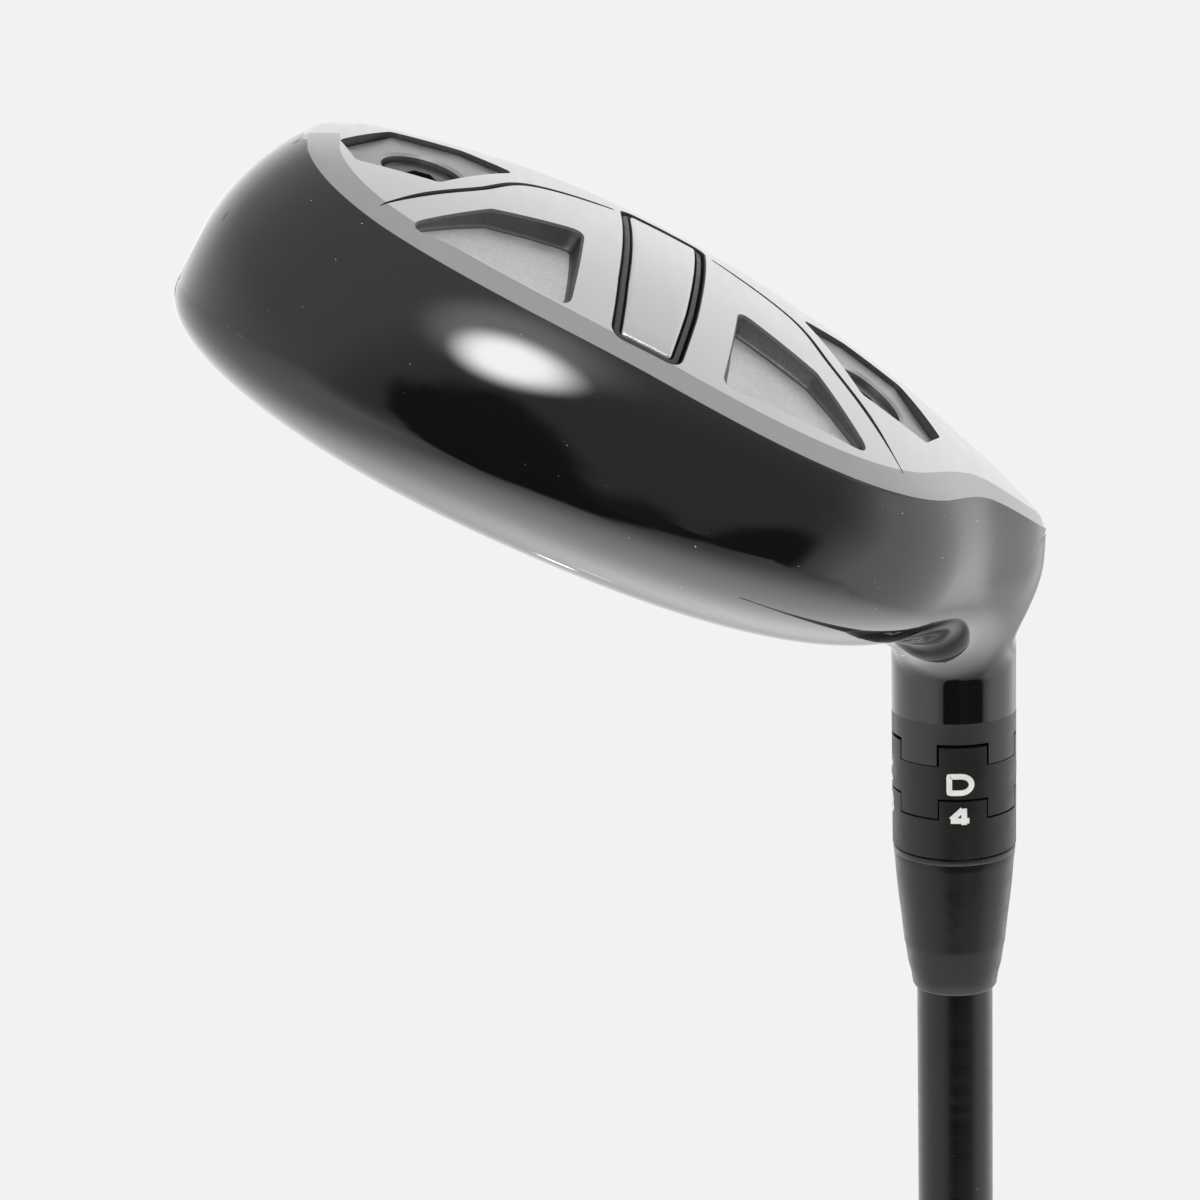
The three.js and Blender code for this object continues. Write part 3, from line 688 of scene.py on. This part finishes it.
def analytic_normals(mesh, matrix):
    """Moves a head mesh into place and gives its skin the formula's own normals."""
    local = read(mesh.vertices, "co", float, 3)
    corners = read(mesh.loops, "vertex_index")
    sizes = read(mesh.polygons, "loop_total")
    faces = np.repeat(np.arange(len(sizes)), sizes)
    centres = read(mesh.polygons, "center", float, 3)
    is_skin = np.isin(read(mesh.polygons, "material_index"), SKIN)

    smooth_normals(mesh)
    sharp = read(mesh.edges, "use_edge_sharp", bool)
    loop_edges = read(mesh.loops, "edge_index")
    skin_count = np.bincount(loop_edges, weights=is_skin[faces], minlength=len(sharp))
    sharp |= skin_count == 1
    mesh.edges.foreach_set("use_edge_sharp", sharp)
    mesh.update()
    normals = read(mesh.corner_normals, "vector", float, 3)

    chosen = is_skin[faces]
    towards = centres[faces[chosen]] - local[corners[chosen]]
    length = np.linalg.norm(towards, axis=1)[:, None] + 1e-9
    p = local[corners[chosen]] + towards / length * np.minimum(0.03, 0.4 * length)
    step = 0.01
    gradient = np.empty_like(p)
    for axis in range(3):
        shift = np.zeros(3)
        shift[axis] = step
        after, before = (p + shift).T, (p - shift).T
        rise = head_field(after[0], after[1], -after[2])
        gradient[:, axis] = rise - head_field(before[0], before[1], -before[2])
    gradient /= np.linalg.norm(gradient, axis=1)[:, None] + 1e-12
    normals[chosen] = gradient
    rotation = np.array(matrix.to_3x3().normalized())
    normals = normals @ rotation.T
    mesh.transform(matrix)
    mesh.normals_split_custom_set(normals.astype(np.float32))
    return mesh


# ---- the head ----
def head_columns(u):
    """Angles round each section, with columns on the paint line and on both bevel edges."""
    outer = find_angle(u, math.pi, 1.5 * math.pi,
                       lambda x, y, h: sole_field(x, y, h) + BEVEL > 0)
    inner = find_angle(u, math.pi, 1.5 * math.pi,
                       lambda x, y, h: casting_field(x, y, h) + BEVEL < 0)
    outer = np.minimum(outer, 1.47 * math.pi)
    inner = np.clip(inner, outer + 0.004, 1.49 * math.pi)
    front = find_angle(u, 1.5 * math.pi, 2.2 * math.pi,
                       lambda x, y, h: casting_field(x, y, h) > sole_field(x, y, h))
    front = np.clip(front, 1.6 * math.pi, 2.1 * math.pi)
    full = np.full(u.shape, math.pi)
    stops = [0.5 * full, full, outer, inner, 1.5 * full, front, 2.5 * full]
    counts = [34, 26, 3, 26, 20, 56]
    columns = []
    kinds = []
    for i, (count, kind) in enumerate(zip(counts, (PAINT, PAINT, BEVELLED, SOLE, SOLE, PAINT))):
        for k in range(count):
            columns.append(stops[i] + (stops[i + 1] - stops[i]) * k / count)
            kinds.append(kind)
    return np.array(columns).T, np.array(kinds)


def outer_head():
    body = -BODY_TOE + 0.02 + (PIVOT_X + BODY_TOE - 0.02) * np.linspace(0, 1, 110) ** 1.6
    fan = np.linspace(PIVOT_X, FAN_END + 4, 60)[1:]
    paint_end = FAN_END + PAINT_END - PIVOT_ALONG
    hosel = np.linspace(FAN_END + 4, paint_end, 10)[1:]
    collar = np.linspace(paint_end, SECTION_END, 6)[1:]
    stations = np.concatenate([body, fan, hosel, collar])
    angles, kinds = head_columns(stations)
    u = np.repeat(stations[:, None], angles.shape[1], 1)
    points = cast(u, angles)
    points[..., 2] *= -1
    near_sole = sole_field(points[..., 0], points[..., 1], -points[..., 2]) > -1.3
    slots = np.repeat(kinds[None], len(stations) - 1, 0)
    slots[~near_sole[:-1]] = PAINT
    slots[stations[:-1] >= paint_end - 1e-6] = COLLAR
    return loft(points, slots)


def screw_frame(side):
    x, y = side * SCREW_X, SCREW_Y
    radius = SOLE_TOE if x < SOLE_X else SOLE_HEEL
    normal = Vector(((x - SOLE_X) / radius, (y - SOLE_Y) / SOLE_REAR, 1)).normalized()
    turn = Vector((0, 0, 1)).rotation_difference(normal).to_matrix().to_4x4()
    return Matrix.Translation((x, y, -float(sole_height(x, y)))) @ turn


def level(along):
    return CLUB_LENGTH - along


def tang_bars(width, low, high, slot=0):
    long = 2.2 * HOSEL_R
    first = box_mesh((-width / 2, -long, low), (width / 2, long, high), slot)
    second = box_mesh((-long, -width / 2, low), (long, width / 2, high), slot)
    return [first, second]


def pocket_points(side):
    outline = POCKET if side > 0 else mirrored(POCKET)
    return rounded([(x - side * SCREW_X, y - SCREW_Y) for x, y in outline], 1.1)


def flat_rings(outline, steps):
    """Rings at heights with the outline grown by a distance."""
    return [np.column_stack([grown(outline, g), np.full(len(outline), z)]) for g, z in steps]


def pocket_cutter(side):
    outline = pocket_points(side)
    rings = flat_rings(outline, [(0, 5), (0, -POCKET_DEPTH + 0.3), (-0.1, -POCKET_DEPTH + 0.1),
                                 (-0.3, -POCKET_DEPTH)])
    cutter = loft(rings, POCKET_WALL)
    return moved(cutter, screw_frame(side))


def recess_depth(x, y):
    """Recesses get deeper from their rear edge towards the face."""
    rear = min(point[1] for point in RECESS)
    front = max(point[1] for point in RECESS)
    return RECESS_SHALLOW + RECESS_SLOPE * np.clip((y - rear) / (front - rear), 0, 1)


def side_cutters(side):
    """Weight pocket, screw hole, recess and groove on the toe side or the heel side."""
    hole_end, hole_radius = -9.6, 2.15
    profile = [(0, hole_end), (hole_radius, hole_end), (hole_radius, -3), (0, -3)]
    recess = RECESS if side > 0 else mirrored(RECESS)
    groove = GROOVE if side > 0 else mirrored(GROOVE)
    return [pocket_cutter(side),
            moved(lathe(profile, 32, HOLE), screw_frame(side)),
            sole_pocket(rounded(recess, 1.2), recess_depth, WALL, FLOOR),
            groove_cutter(groove, 0.8, 0.55, HOLE)]


def round_cutter(radius, low, high):
    """Round cutter on the shaft axis between two heights."""
    return lathe([(0, low), (radius, low), (radius, high), (0, high)], 64, HOLE)


def head_cutters():
    tools = side_cutters(-1) + side_cutters(1)
    badge = rounded(BADGE, 0.8)
    tools.append(sole_pocket(grown(badge, 0.9), lambda x, y: 1.9 + 0 * x, HOLE, HOLE, 0.12, 0.1))
    seat, mouth = level(PORT_SEAT), level(HOSEL_END + 2)
    on_axis = [round_cutter(PORT_R, seat, level(-12)),
               round_cutter(PORT_HOLE_R, level(BORE_START + 1), seat + 1),
               round_cutter(BORE_R, mouth, level(BORE_START))]
    on_axis += tang_bars(TANG_WIDTH + 0.5, mouth, level(HOSEL_END - TANG_HEIGHT - 0.3), HOLE)
    to_head = HEAD_TO_CLUB.inverted()
    return tools + [moved(cutter, to_head) for cutter in on_axis]


def crown_block(seam):
    return box_mesh((-60, -60, -70), (33, -10.5, -seam), SEAM)


def face_outline(grow):
    outline = [(-34, 7), (-26, 4.4), (18, 4.4), (27, 8), (27, 26.5), (-20, 31), (-33, 30)]
    return grown(rounded(outline, 5, 1.5, 8), grow)


def face_frame():
    up = Vector((0, -math.sin(LOFT), -math.cos(LOFT)))
    out = Vector((0, math.cos(LOFT), -math.sin(LOFT)))
    across = up.cross(out)
    matrix = Matrix((across, up, out)).transposed().to_4x4()
    matrix.translation = (0, FACE_Y + FACE_H * math.tan(LOFT), 0)
    return matrix, across.x


def face_prism(grow, inner, outer):
    matrix, sign = face_frame()
    outline = face_outline(grow) * np.array([1 if sign > 0 else -1, 1])
    rings = [np.column_stack([outline, np.full(len(outline), z)]) for z in (inner, outer)]
    return moved(loft(rings, SEAM), matrix)


def score_lines():
    matrix, _ = face_frame()
    bars = []
    for k in range(6):
        v = 9 + 3.0 * k
        sag = -((v * math.cos(LOFT) - 15) ** 2) / (2 * BULGE)
        bars.append(moved(box_mesh((-25, v - 0.35, sag - 0.5), (19, v + 0.35, 6), HOLE), matrix))
    return bars


def build_head():
    """Casting, crown skin and face plate, all cut from one outer skin."""
    skin = outer_head()
    room = [crown_block(CROWN_SEAM - HAIRLINE), face_prism(HAIRLINE, -FACE_PLATE - 0.3, 12)]
    body = boolean(skin, room + head_cutters())
    crown = boolean(skin, crown_block(CROWN_SEAM), "INTERSECT")
    face = boolean(skin, face_prism(0, -FACE_PLATE, 12), "INTERSECT")
    face = boolean(face, score_lines())
    slots = read(face.polygons, "material_index")
    slots[slots == PAINT] = FACE
    face.polygons.foreach_set("material_index", slots)
    for mesh, name, node, slot in ((body, "head_casting", "head_body", "sole_casting"),
                                   (crown, "crown_skin", "crown_shell", "crown_paint"),
                                   (face, "face_plate", "face_insert", "face_steel")):
        shaded = analytic_normals(mesh, HEAD)
        piece(name, shaded, HEAD, HEAD_LOOKS, "head", node, shaded=True)


def build_badge():
    badge = rounded(BADGE, 0.8)
    plate = sole_plate(grown(badge, -0.3), 0.05, 1.0, 0.3)
    piece("badge_plate", plate, HEAD, ["badge"], "head", "sole_badge")
    outer = sole_plate(grown(badge, 0.62), 0.3, 1.0, 0.25)
    hole = sole_pocket(grown(badge, -0.02), lambda x, y: 4 + 0 * x, 0, 0, 0.25, 0.1)
    gasket = boolean(outer, hole)
    piece("badge_seal", gasket, HEAD, ["gasket"], "head", "badge_gasket")


def weight_plate(side):
    top, low = PLATE_TOP, PLATE_TOP - PLATE_THICKNESS
    steps = [(-0.35, low), (-0.35, top - 0.25), (-0.42, top - 0.08), (-0.6, top)]
    plate = loft(flat_rings(pocket_points(side), steps))
    floor = top - COUNTERBORE
    seat = lathe([(0, low - 1), (2.25, low - 1), (2.25, floor), (4.6, floor), (4.6, top - 0.3),
                  (4.95, top + 0.05), (4.95, 3), (0, 3)], 64)
    return boolean(plate, seat)


def weight_screw():
    seat = PLATE_TOP - COUNTERBORE + 0.1
    radius, shank, end = SCREW_HEAD_R, WEIGHT_SCREW_SHANK, -WEIGHT_SCREW_LENGTH
    screw = lathe([(0, end), (shank - 0.5, end), (shank, end + 0.6), (shank, seat), (radius, seat),
                   (radius, seat + 0.8), (radius - 0.1, seat + 1.05), (radius - 0.35, seat + 1.18),
                   (2.1, seat + 1.18), (0, seat + 1.18)], 64)
    low, socket = seat - 0.6, WEIGHT_SCREW_SOCKET
    return boolean(screw, lathe([(0, low), (socket, low), (socket, 4), (0, 4)], 6))


def build_weight(side, word):
    matrix = HEAD @ screw_frame(side)
    block, screw = f"{word}_weight", f"{word}_weight_screw"
    piece(f"{word}_weight_block", weight_plate(side), matrix, ["weight"], block, block)
    piece(f"{word}_screw", weight_screw(), matrix, ["screw"], screw, screw)


# ---- the hosel stack, shaft and grip ----
def tanged(bore, low, shoulder):
    """Turned ring with an edge break at its foot and four tangs above its shoulder."""
    top = shoulder + TANG_HEIGHT
    ring = lathe([(bore, low), (HOSEL_R - EDGE, low), (HOSEL_R, low + EDGE), (HOSEL_R, top),
                  (bore, top)], 128)
    for x in (-1, 1):
        for y in (-1, 1):
            half = TANG_WIDTH / 2
            a, b = sorted((x * half, x * 20)), sorted((y * half, y * 20))
            ring = boolean(ring, box_mesh((a[0], b[0], shoulder), (a[1], b[1], shoulder + 9)))
    return ring


def build_ring():
    low = level(RING_END) + EDGE
    ring = tanged(SLEEVE_R + 0.3, low, level(HOSEL_END) - EDGE)
    ring = boolean(ring, tang_bars(TANG_WIDTH + 0.3, low - 2, low + TANG_HEIGHT + 0.15))
    piece("index_ring", ring, CLUB, ["ring"], "adjust_ring", "adjust_ring")


def build_sleeve():
    low, tip, step = level(COLLAR_END) + EDGE, level(SLEEVE_TIP), level(SHAFT_END)
    collar = tanged(SLEEVE_BORE, low, level(RING_END))
    foot, hole = low + 0.5, PORT_HOLE_R - 0.1
    barrel = lathe([(SLEEVE_BORE, foot), (SLEEVE_R, foot), (SLEEVE_R, tip - 1), (4.5, tip),
                    (hole, tip), (hole, step), (SLEEVE_BORE, step)], 128)
    sleeve = boolean(collar, barrel, "UNION")
    piece("sleeve", sleeve, CLUB, ["ring"], "shaft", "shaft_sleeve")


def build_ferrule():
    top, waist, end = level(COLLAR_END), level(FERRULE_WAIST), level(FERRULE_END)
    bore = SLEEVE_BORE
    lower_cone = [(4.85, end), (5.0, end + 0.25), (5.2, end + 1.6), (5.55, waist - 2.6),
                  (5.85, waist - 0.5), (5.97, waist - 0.05)]
    upper_cone = [(6.02, waist + 0.35), (6.3, waist + 3), (6.62, waist + 5.6), (6.85, waist + 7.8),
                  (7.05, top - 1.8)]
    top_band = [(7.14, top - 1.1), (7.1, top - 0.95), (7.1, top - 0.75), (7.2, top - 0.6),
                (7.22, top - 0.1), (7.12, top)]
    profile = [(bore, end), *lower_cone, *upper_cone, *top_band, (bore, top)]
    piece("ferrule_cone", lathe(profile, 128), CLUB, ["ferrule"], "shaft", "ferrule")


def build_screw():
    seat, end = level(PORT_SEAT) + WASHER_ROOM, level(BOLT_END)
    screw = lathe([(0, end), (1.9, end), (BOLT_R, end + 0.6), (BOLT_R, seat),
                   (BOLT_HEAD_R - 0.05, seat), (BOLT_HEAD_R, seat + 0.1), (BOLT_HEAD_R, seat + 3.2),
                   (4.2, seat + 3.5), (3.9, seat + 3.7), (0, seat + 3.7)], 64)
    low, high = seat + 1.4, seat + 8
    socket = lathe([(0, low), (BOLT_SOCKET, low), (BOLT_SOCKET, high), (0, high)], 6)
    screw = boolean(screw, socket)
    piece("hosel_bolt", screw, CLUB, ["screw"], "hosel_screw", "hosel_screw")


def shaft_radius(z):
    part = np.clip((z - SHAFT_TAPER) / (SHAFT_PARALLEL - SHAFT_TAPER), 0, 1)
    return SHAFT_BUTT + (SHAFT_TIP - SHAFT_BUTT) * float(part)


def build_shaft():
    """Tube with a wall that grows from 1.0 to 1.6 towards the tip."""
    low, high = 3.3, level(SHAFT_END) - 0.3
    heights = [low, *map(float, np.linspace(SHAFT_TAPER, SHAFT_PARALLEL, 24)), high]
    outer = [(shaft_radius(z), z) for z in heights]
    inner = []
    for r, z in reversed(outer):
        past = max(z - SHAFT_TAPER, 0) / (high - SHAFT_TAPER)
        inner.append((r - 1.0 - 0.6 * past, z))
    tube = lathe(outer + inner, 96)
    piece("shaft_tube", tube, CLUB, ["shaft"], "shaft", "shaft")


def build_grip():
    bore, end, hole = SHAFT_BUTT + 0.7, GRIP_LENGTH, 1.5
    cap = [(11.6, 0), (12.4, 0.2), (12.9, 0.5), (13.3, 1.1), (13.45, 1.8), (13.5, 3.4),
           (13.35, 4.6), (13.1, 6)]
    taper = [(12.7, 9), (12.4, 14), (11.9, 60), (11.0, 130), (10.1, 200)]
    mouth = [(9.5, end - 3), (9.4, end - 1.2), (9.2, end - 0.4), (8.9, end)]
    profile = [(hole, 0), *cap, *taper, *mouth, (bore, end), (bore, 3), (hole, 3)]
    piece("grip_sleeve", lathe(profile, 128), CLUB, ["grip"], "shaft", "grip")


# ---- index marks ----
MARK_SUNK, MARK_PROUD = 0.1, 0.035


def stroke_ribbon(path, width, radius, turn, height):
    """Flat stroke wrapped on a cylinder: path holds (right, up) in millimetres."""
    path = np.array(path, float)
    dense = [path[0]]
    for a, b in zip(path[:-1], path[1:]):
        pieces = max(1, int(np.linalg.norm(b - a) / 0.12))
        dense.extend(a + (b - a) * (k + 1) / pieces for k in range(pieces))
    dense = np.array(dense)
    tangent = np.gradient(dense, axis=0)
    tangent /= np.linalg.norm(tangent, axis=1)[:, None]
    normal = np.stack([-tangent[:, 1], tangent[:, 0]], -1) * width / 2
    rings = []
    for r in (radius - MARK_SUNK, radius + MARK_PROUD):
        outline = np.vstack([dense + normal, (dense - normal)[::-1]])
        angle = turn + outline[:, 0] / radius
        rings.append(np.column_stack([r * np.cos(angle), r * np.sin(angle), height + outline[:, 1]]))
    count = len(dense)
    points = np.vstack(rings)
    faces = []
    total = 2 * count
    for j in range(total):
        k = (j + 1) % total
        faces.append((j, k, total + k, total + j))
    for j in range(count - 1):
        faces.append((total + j, total + j + 1, 2 * total - 2 - j, 2 * total - 1 - j))
        faces.append((j + 1, j, total - 1 - j, total - 2 - j))
    return points, faces


def arc(cx, cy, rx, ry, start, end, steps=14):
    angles = np.radians(np.linspace(start, end, steps))
    return [(cx + rx * math.cos(a), cy + ry * math.sin(a)) for a in angles]


GLYPHS = {
    "A": [[(-0.8, -1), (0, 1), (0.8, -1)], [(-0.5, -0.35), (0.5, -0.35)]],
    "B": [[(-0.7, -1), (-0.7, 1), (0.1, 1), *arc(0.1, 0.5, 0.5, 0.5, 90, -90)[1:], (-0.6, 0)],
          [(-0.6, 0), (0.15, 0), *arc(0.15, -0.5, 0.55, 0.5, 90, -90)[1:], (-0.7, -1)]],
    "C": [arc(0, 0, 0.8, 1, 50, 310, 24)],
    "D": [[(-0.9, 0), (-0.9, 1), (0, 1), *arc(0, 0, 0.9, 1, 90, -90, 20)[1:], (-0.9, -1), (-0.9, 0)]],
    "1": [[(-0.35, 0.6), (0.05, 1), (0.05, -1)]],
    "2": [[*arc(0, 0.4, 0.6, 0.6, 160, -30, 16), (-0.65, -1), (0.7, -1)]],
    "3": [[*arc(0, 0.5, 0.6, 0.5, 150, -90, 16)], [*arc(0, -0.5, 0.65, 0.5, 90, -150, 16)]],
    "4": [[(0.35, -1), (0.35, 1)], [(0.2, 0.9), (-0.9, -0.35)], [(-0.95, -0.5), (0.85, -0.5)]],
}


def build_marks():
    """The settings printed round the ring and the sleeve, one of each facing the rear."""
    stroke, offset = 0.66, -0.05
    rows = (("ring_marks", "DABC", level(46.6), 1.45, "adjust_ring"),
            ("sleeve_marks", "4123", level(50.5), 1.2, "shaft"))
    for name, letters, height, wide, body in rows:
        points, faces = [], []
        for k, letter in enumerate(letters):
            turn = -math.pi / 2 + k * math.pi / 2 + offset
            for path in GLYPHS[letter]:
                scaled = [(x * wide, y) for x, y in path]
                more, new = stroke_ribbon(scaled, stroke, HOSEL_R, turn, height)
                faces.extend(tuple(i + len(points) for i in face) for face in new)
                points.extend(map(tuple, more))
        mesh = new_mesh(name, points, faces)
        piece(name, mesh, CLUB, ["mark"], body, None)


# ---- stage ----
BACKDROP = 0.9


def direction(azimuth, elevation):
    """Unit vector: azimuth 0 is +Y and 90 is +X, in degrees."""
    a, e = math.radians(azimuth), math.radians(elevation)
    return Vector((math.sin(a) * math.cos(e), math.cos(a) * math.cos(e), math.sin(e)))


def turned_pair(right, up, angle):
    """Two crossed directions turned together in their own plane."""
    cos, sin = math.cos(angle), math.sin(angle)
    return right * cos + up * sin, up * cos - right * sin


class Studio(Look):
    """World shader built from soft patches of light and dark."""

    def __init__(self):
        world = bpy.data.worlds.new("studio")
        world.use_nodes = True
        bpy.context.scene.world = world
        self.tree = world.node_tree
        self.background = self.tree.nodes["Background"]
        self.coordinates = self.node("ShaderNodeTexCoord").outputs["Generated"]

    def dot(self, vector, towards):
        node = self.node("ShaderNodeVectorMath", operation="DOT_PRODUCT")
        node.inputs[1].default_value = towards
        self.link(vector, node.inputs[0])
        return node.outputs["Value"]

    def soft(self, value, low, high, out_low, out_high):
        node = self.node("ShaderNodeMapRange", interpolation_type="SMOOTHSTEP")
        return self.remap(node, value, (low, high, out_low, out_high))

    def patch(self, below, azimuth, elevation, half, softness, radiance, wobble=0.0, tilt=0.0,
              power=2.0):
        """Lays an elliptical patch of one radiance over what is below it; half holds its
        half width and half height in degrees."""
        centre = direction(azimuth, elevation)
        side = centre.cross(Vector((0, 0, 1))).normalized()
        up = side.cross(centre)
        side, up = turned_pair(side, up, tilt)
        ahead = self.math("MAXIMUM", self.dot(self.coordinates, centre), 0.05)
        total = None
        for axis, size in ((side, half[0]), (up, half[1])):
            reach = self.math("DIVIDE", self.dot(self.coordinates, axis), ahead)
            reach = self.math("DIVIDE", reach, math.tan(math.radians(size)))
            reach = self.math("ABSOLUTE", reach, 0)
            term = self.math("POWER", reach, power)
            total = term if total is None else self.math("ADD", total, term)
        radius = self.math("POWER", total, 1 / power)
        if wobble:
            warp = self.math("MULTIPLY", self.math("SUBTRACT", self.noise(4.5, 2), 0.5), wobble)
            radius = self.math("ADD", radius, warp)
        inside = self.soft(radius, 1 - softness, 1 + softness, 1, 0)
        gap = self.math("SUBTRACT", radiance, below)
        return self.math("ADD", below, self.math("MULTIPLY", gap, inside))


def build_floor():
    corners = [(-40, -40, 0), (40, -40, 0), (40, 40, 0), (-40, 40, 0)]
    floor = bpy.data.objects.new("floor", new_mesh("floor", corners, [(0, 1, 2, 3)]))
    floor.location.z = -0.0005
    floor.visible_glossy = False
    floor.visible_diffuse = False
    look = Look("pale_floor", Roughness=1.0, Specular_IOR_Level=0.0)
    look.set(Base_Color=grey(0.12), Emission_Color=grey(1.0), Emission_Strength=0.74)
    floor.data.materials.clear()
    floor.data.materials.append(look.material)
    bpy.context.scene.collection.objects.link(floor)


def build_studio():
    """Lights that the paint reflects; the backdrop itself is plain for the camera."""
    studio = Studio()
    below = studio.dot(studio.coordinates, direction(0, -90))
    light = studio.soft(below, 0.48, 1.0, 0.95, 3.8)
    light = studio.patch(light, 15, 14, (55, 22), 0.8, 1.35)
    light = studio.patch(light, 85, -17, (44, 29), 0.3, 1.9)
    light = studio.patch(light, 280, -17, (68, 35), 0.8, 1.7)
    light = studio.patch(light, 168, 6, (57, 31), 0.6, 0.45)
    light = studio.patch(light, 189, -6, (19, 28), 0.12, 0.045, 0.45, 0.0, 3.0)
    light = studio.patch(light, 168, -14, (9, 13), 0.2, 0.1, 0.5)
    light = studio.patch(light, 148, -16, (18, 8), 0.3, 0.06, 0.4, math.radians(-20))
    light = studio.patch(light, 171, 39, (15, 10), 0.5, 3.0)
    light = studio.patch(light, 173, 32.5, (9.5, 7), 0.5, 22.0)
    plain = studio.node("ShaderNodeLightPath").outputs["Is Camera Ray"]
    change = studio.math("MULTIPLY", studio.math("SUBTRACT", BACKDROP, light), plain)
    seen = studio.math("ADD", light, change)
    studio.link(seen, studio.background.inputs["Color"])


def build_camera():
    """Long lens from the rear, aimed so that the index ring is right of and below the middle."""
    distance, lens = 430.0, 109.263
    ring_right, ring_below = 41.795, 19.362
    target = Vector((0, 0, level(46.3)))
    forward = direction(3, -14.5)
    right = forward.cross(Vector((0, 0, 1))).normalized()
    up = right.cross(forward)
    right, up = turned_pair(right, up, math.radians(-1.65))
    location = target - forward * distance - right * ring_right + up * ring_below
    data = bpy.data.cameras.new("camera")
    data.sensor_width = 36
    data.lens = lens
    data.clip_start, data.clip_end = 0.01, 200
    camera = bpy.data.objects.new("camera", data)
    rotation = Matrix((right, up, -forward)).transposed().to_4x4()
    camera.matrix_world = Matrix.Translation(location * MM) @ rotation
    bpy.context.scene.collection.objects.link(camera)
    bpy.context.scene.camera = camera


def dress_hidden_nodes():
    """Looks for the CAD nodes that stay in place as they are."""
    looks = (("badge_tape", "tape"), ("grip_tape", "tape"), ("hosel_screw_washer", "screw"),
             ("shaft_tip_plug", "gasket"))
    for node, look in looks:
        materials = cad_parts[node].data.materials
        materials.clear()
        materials.append(LOOKS[look])


build_camera()
build_head()
build_badge()
build_weight(-1, "toe")
build_weight(1, "heel")
build_ring()
build_sleeve()
build_ferrule()
build_screw()
build_shaft()
build_grip()
build_marks()
build_floor()
build_studio()
dress_hidden_nodes()
bpy.context.scene.view_settings.view_transform = "Standard"
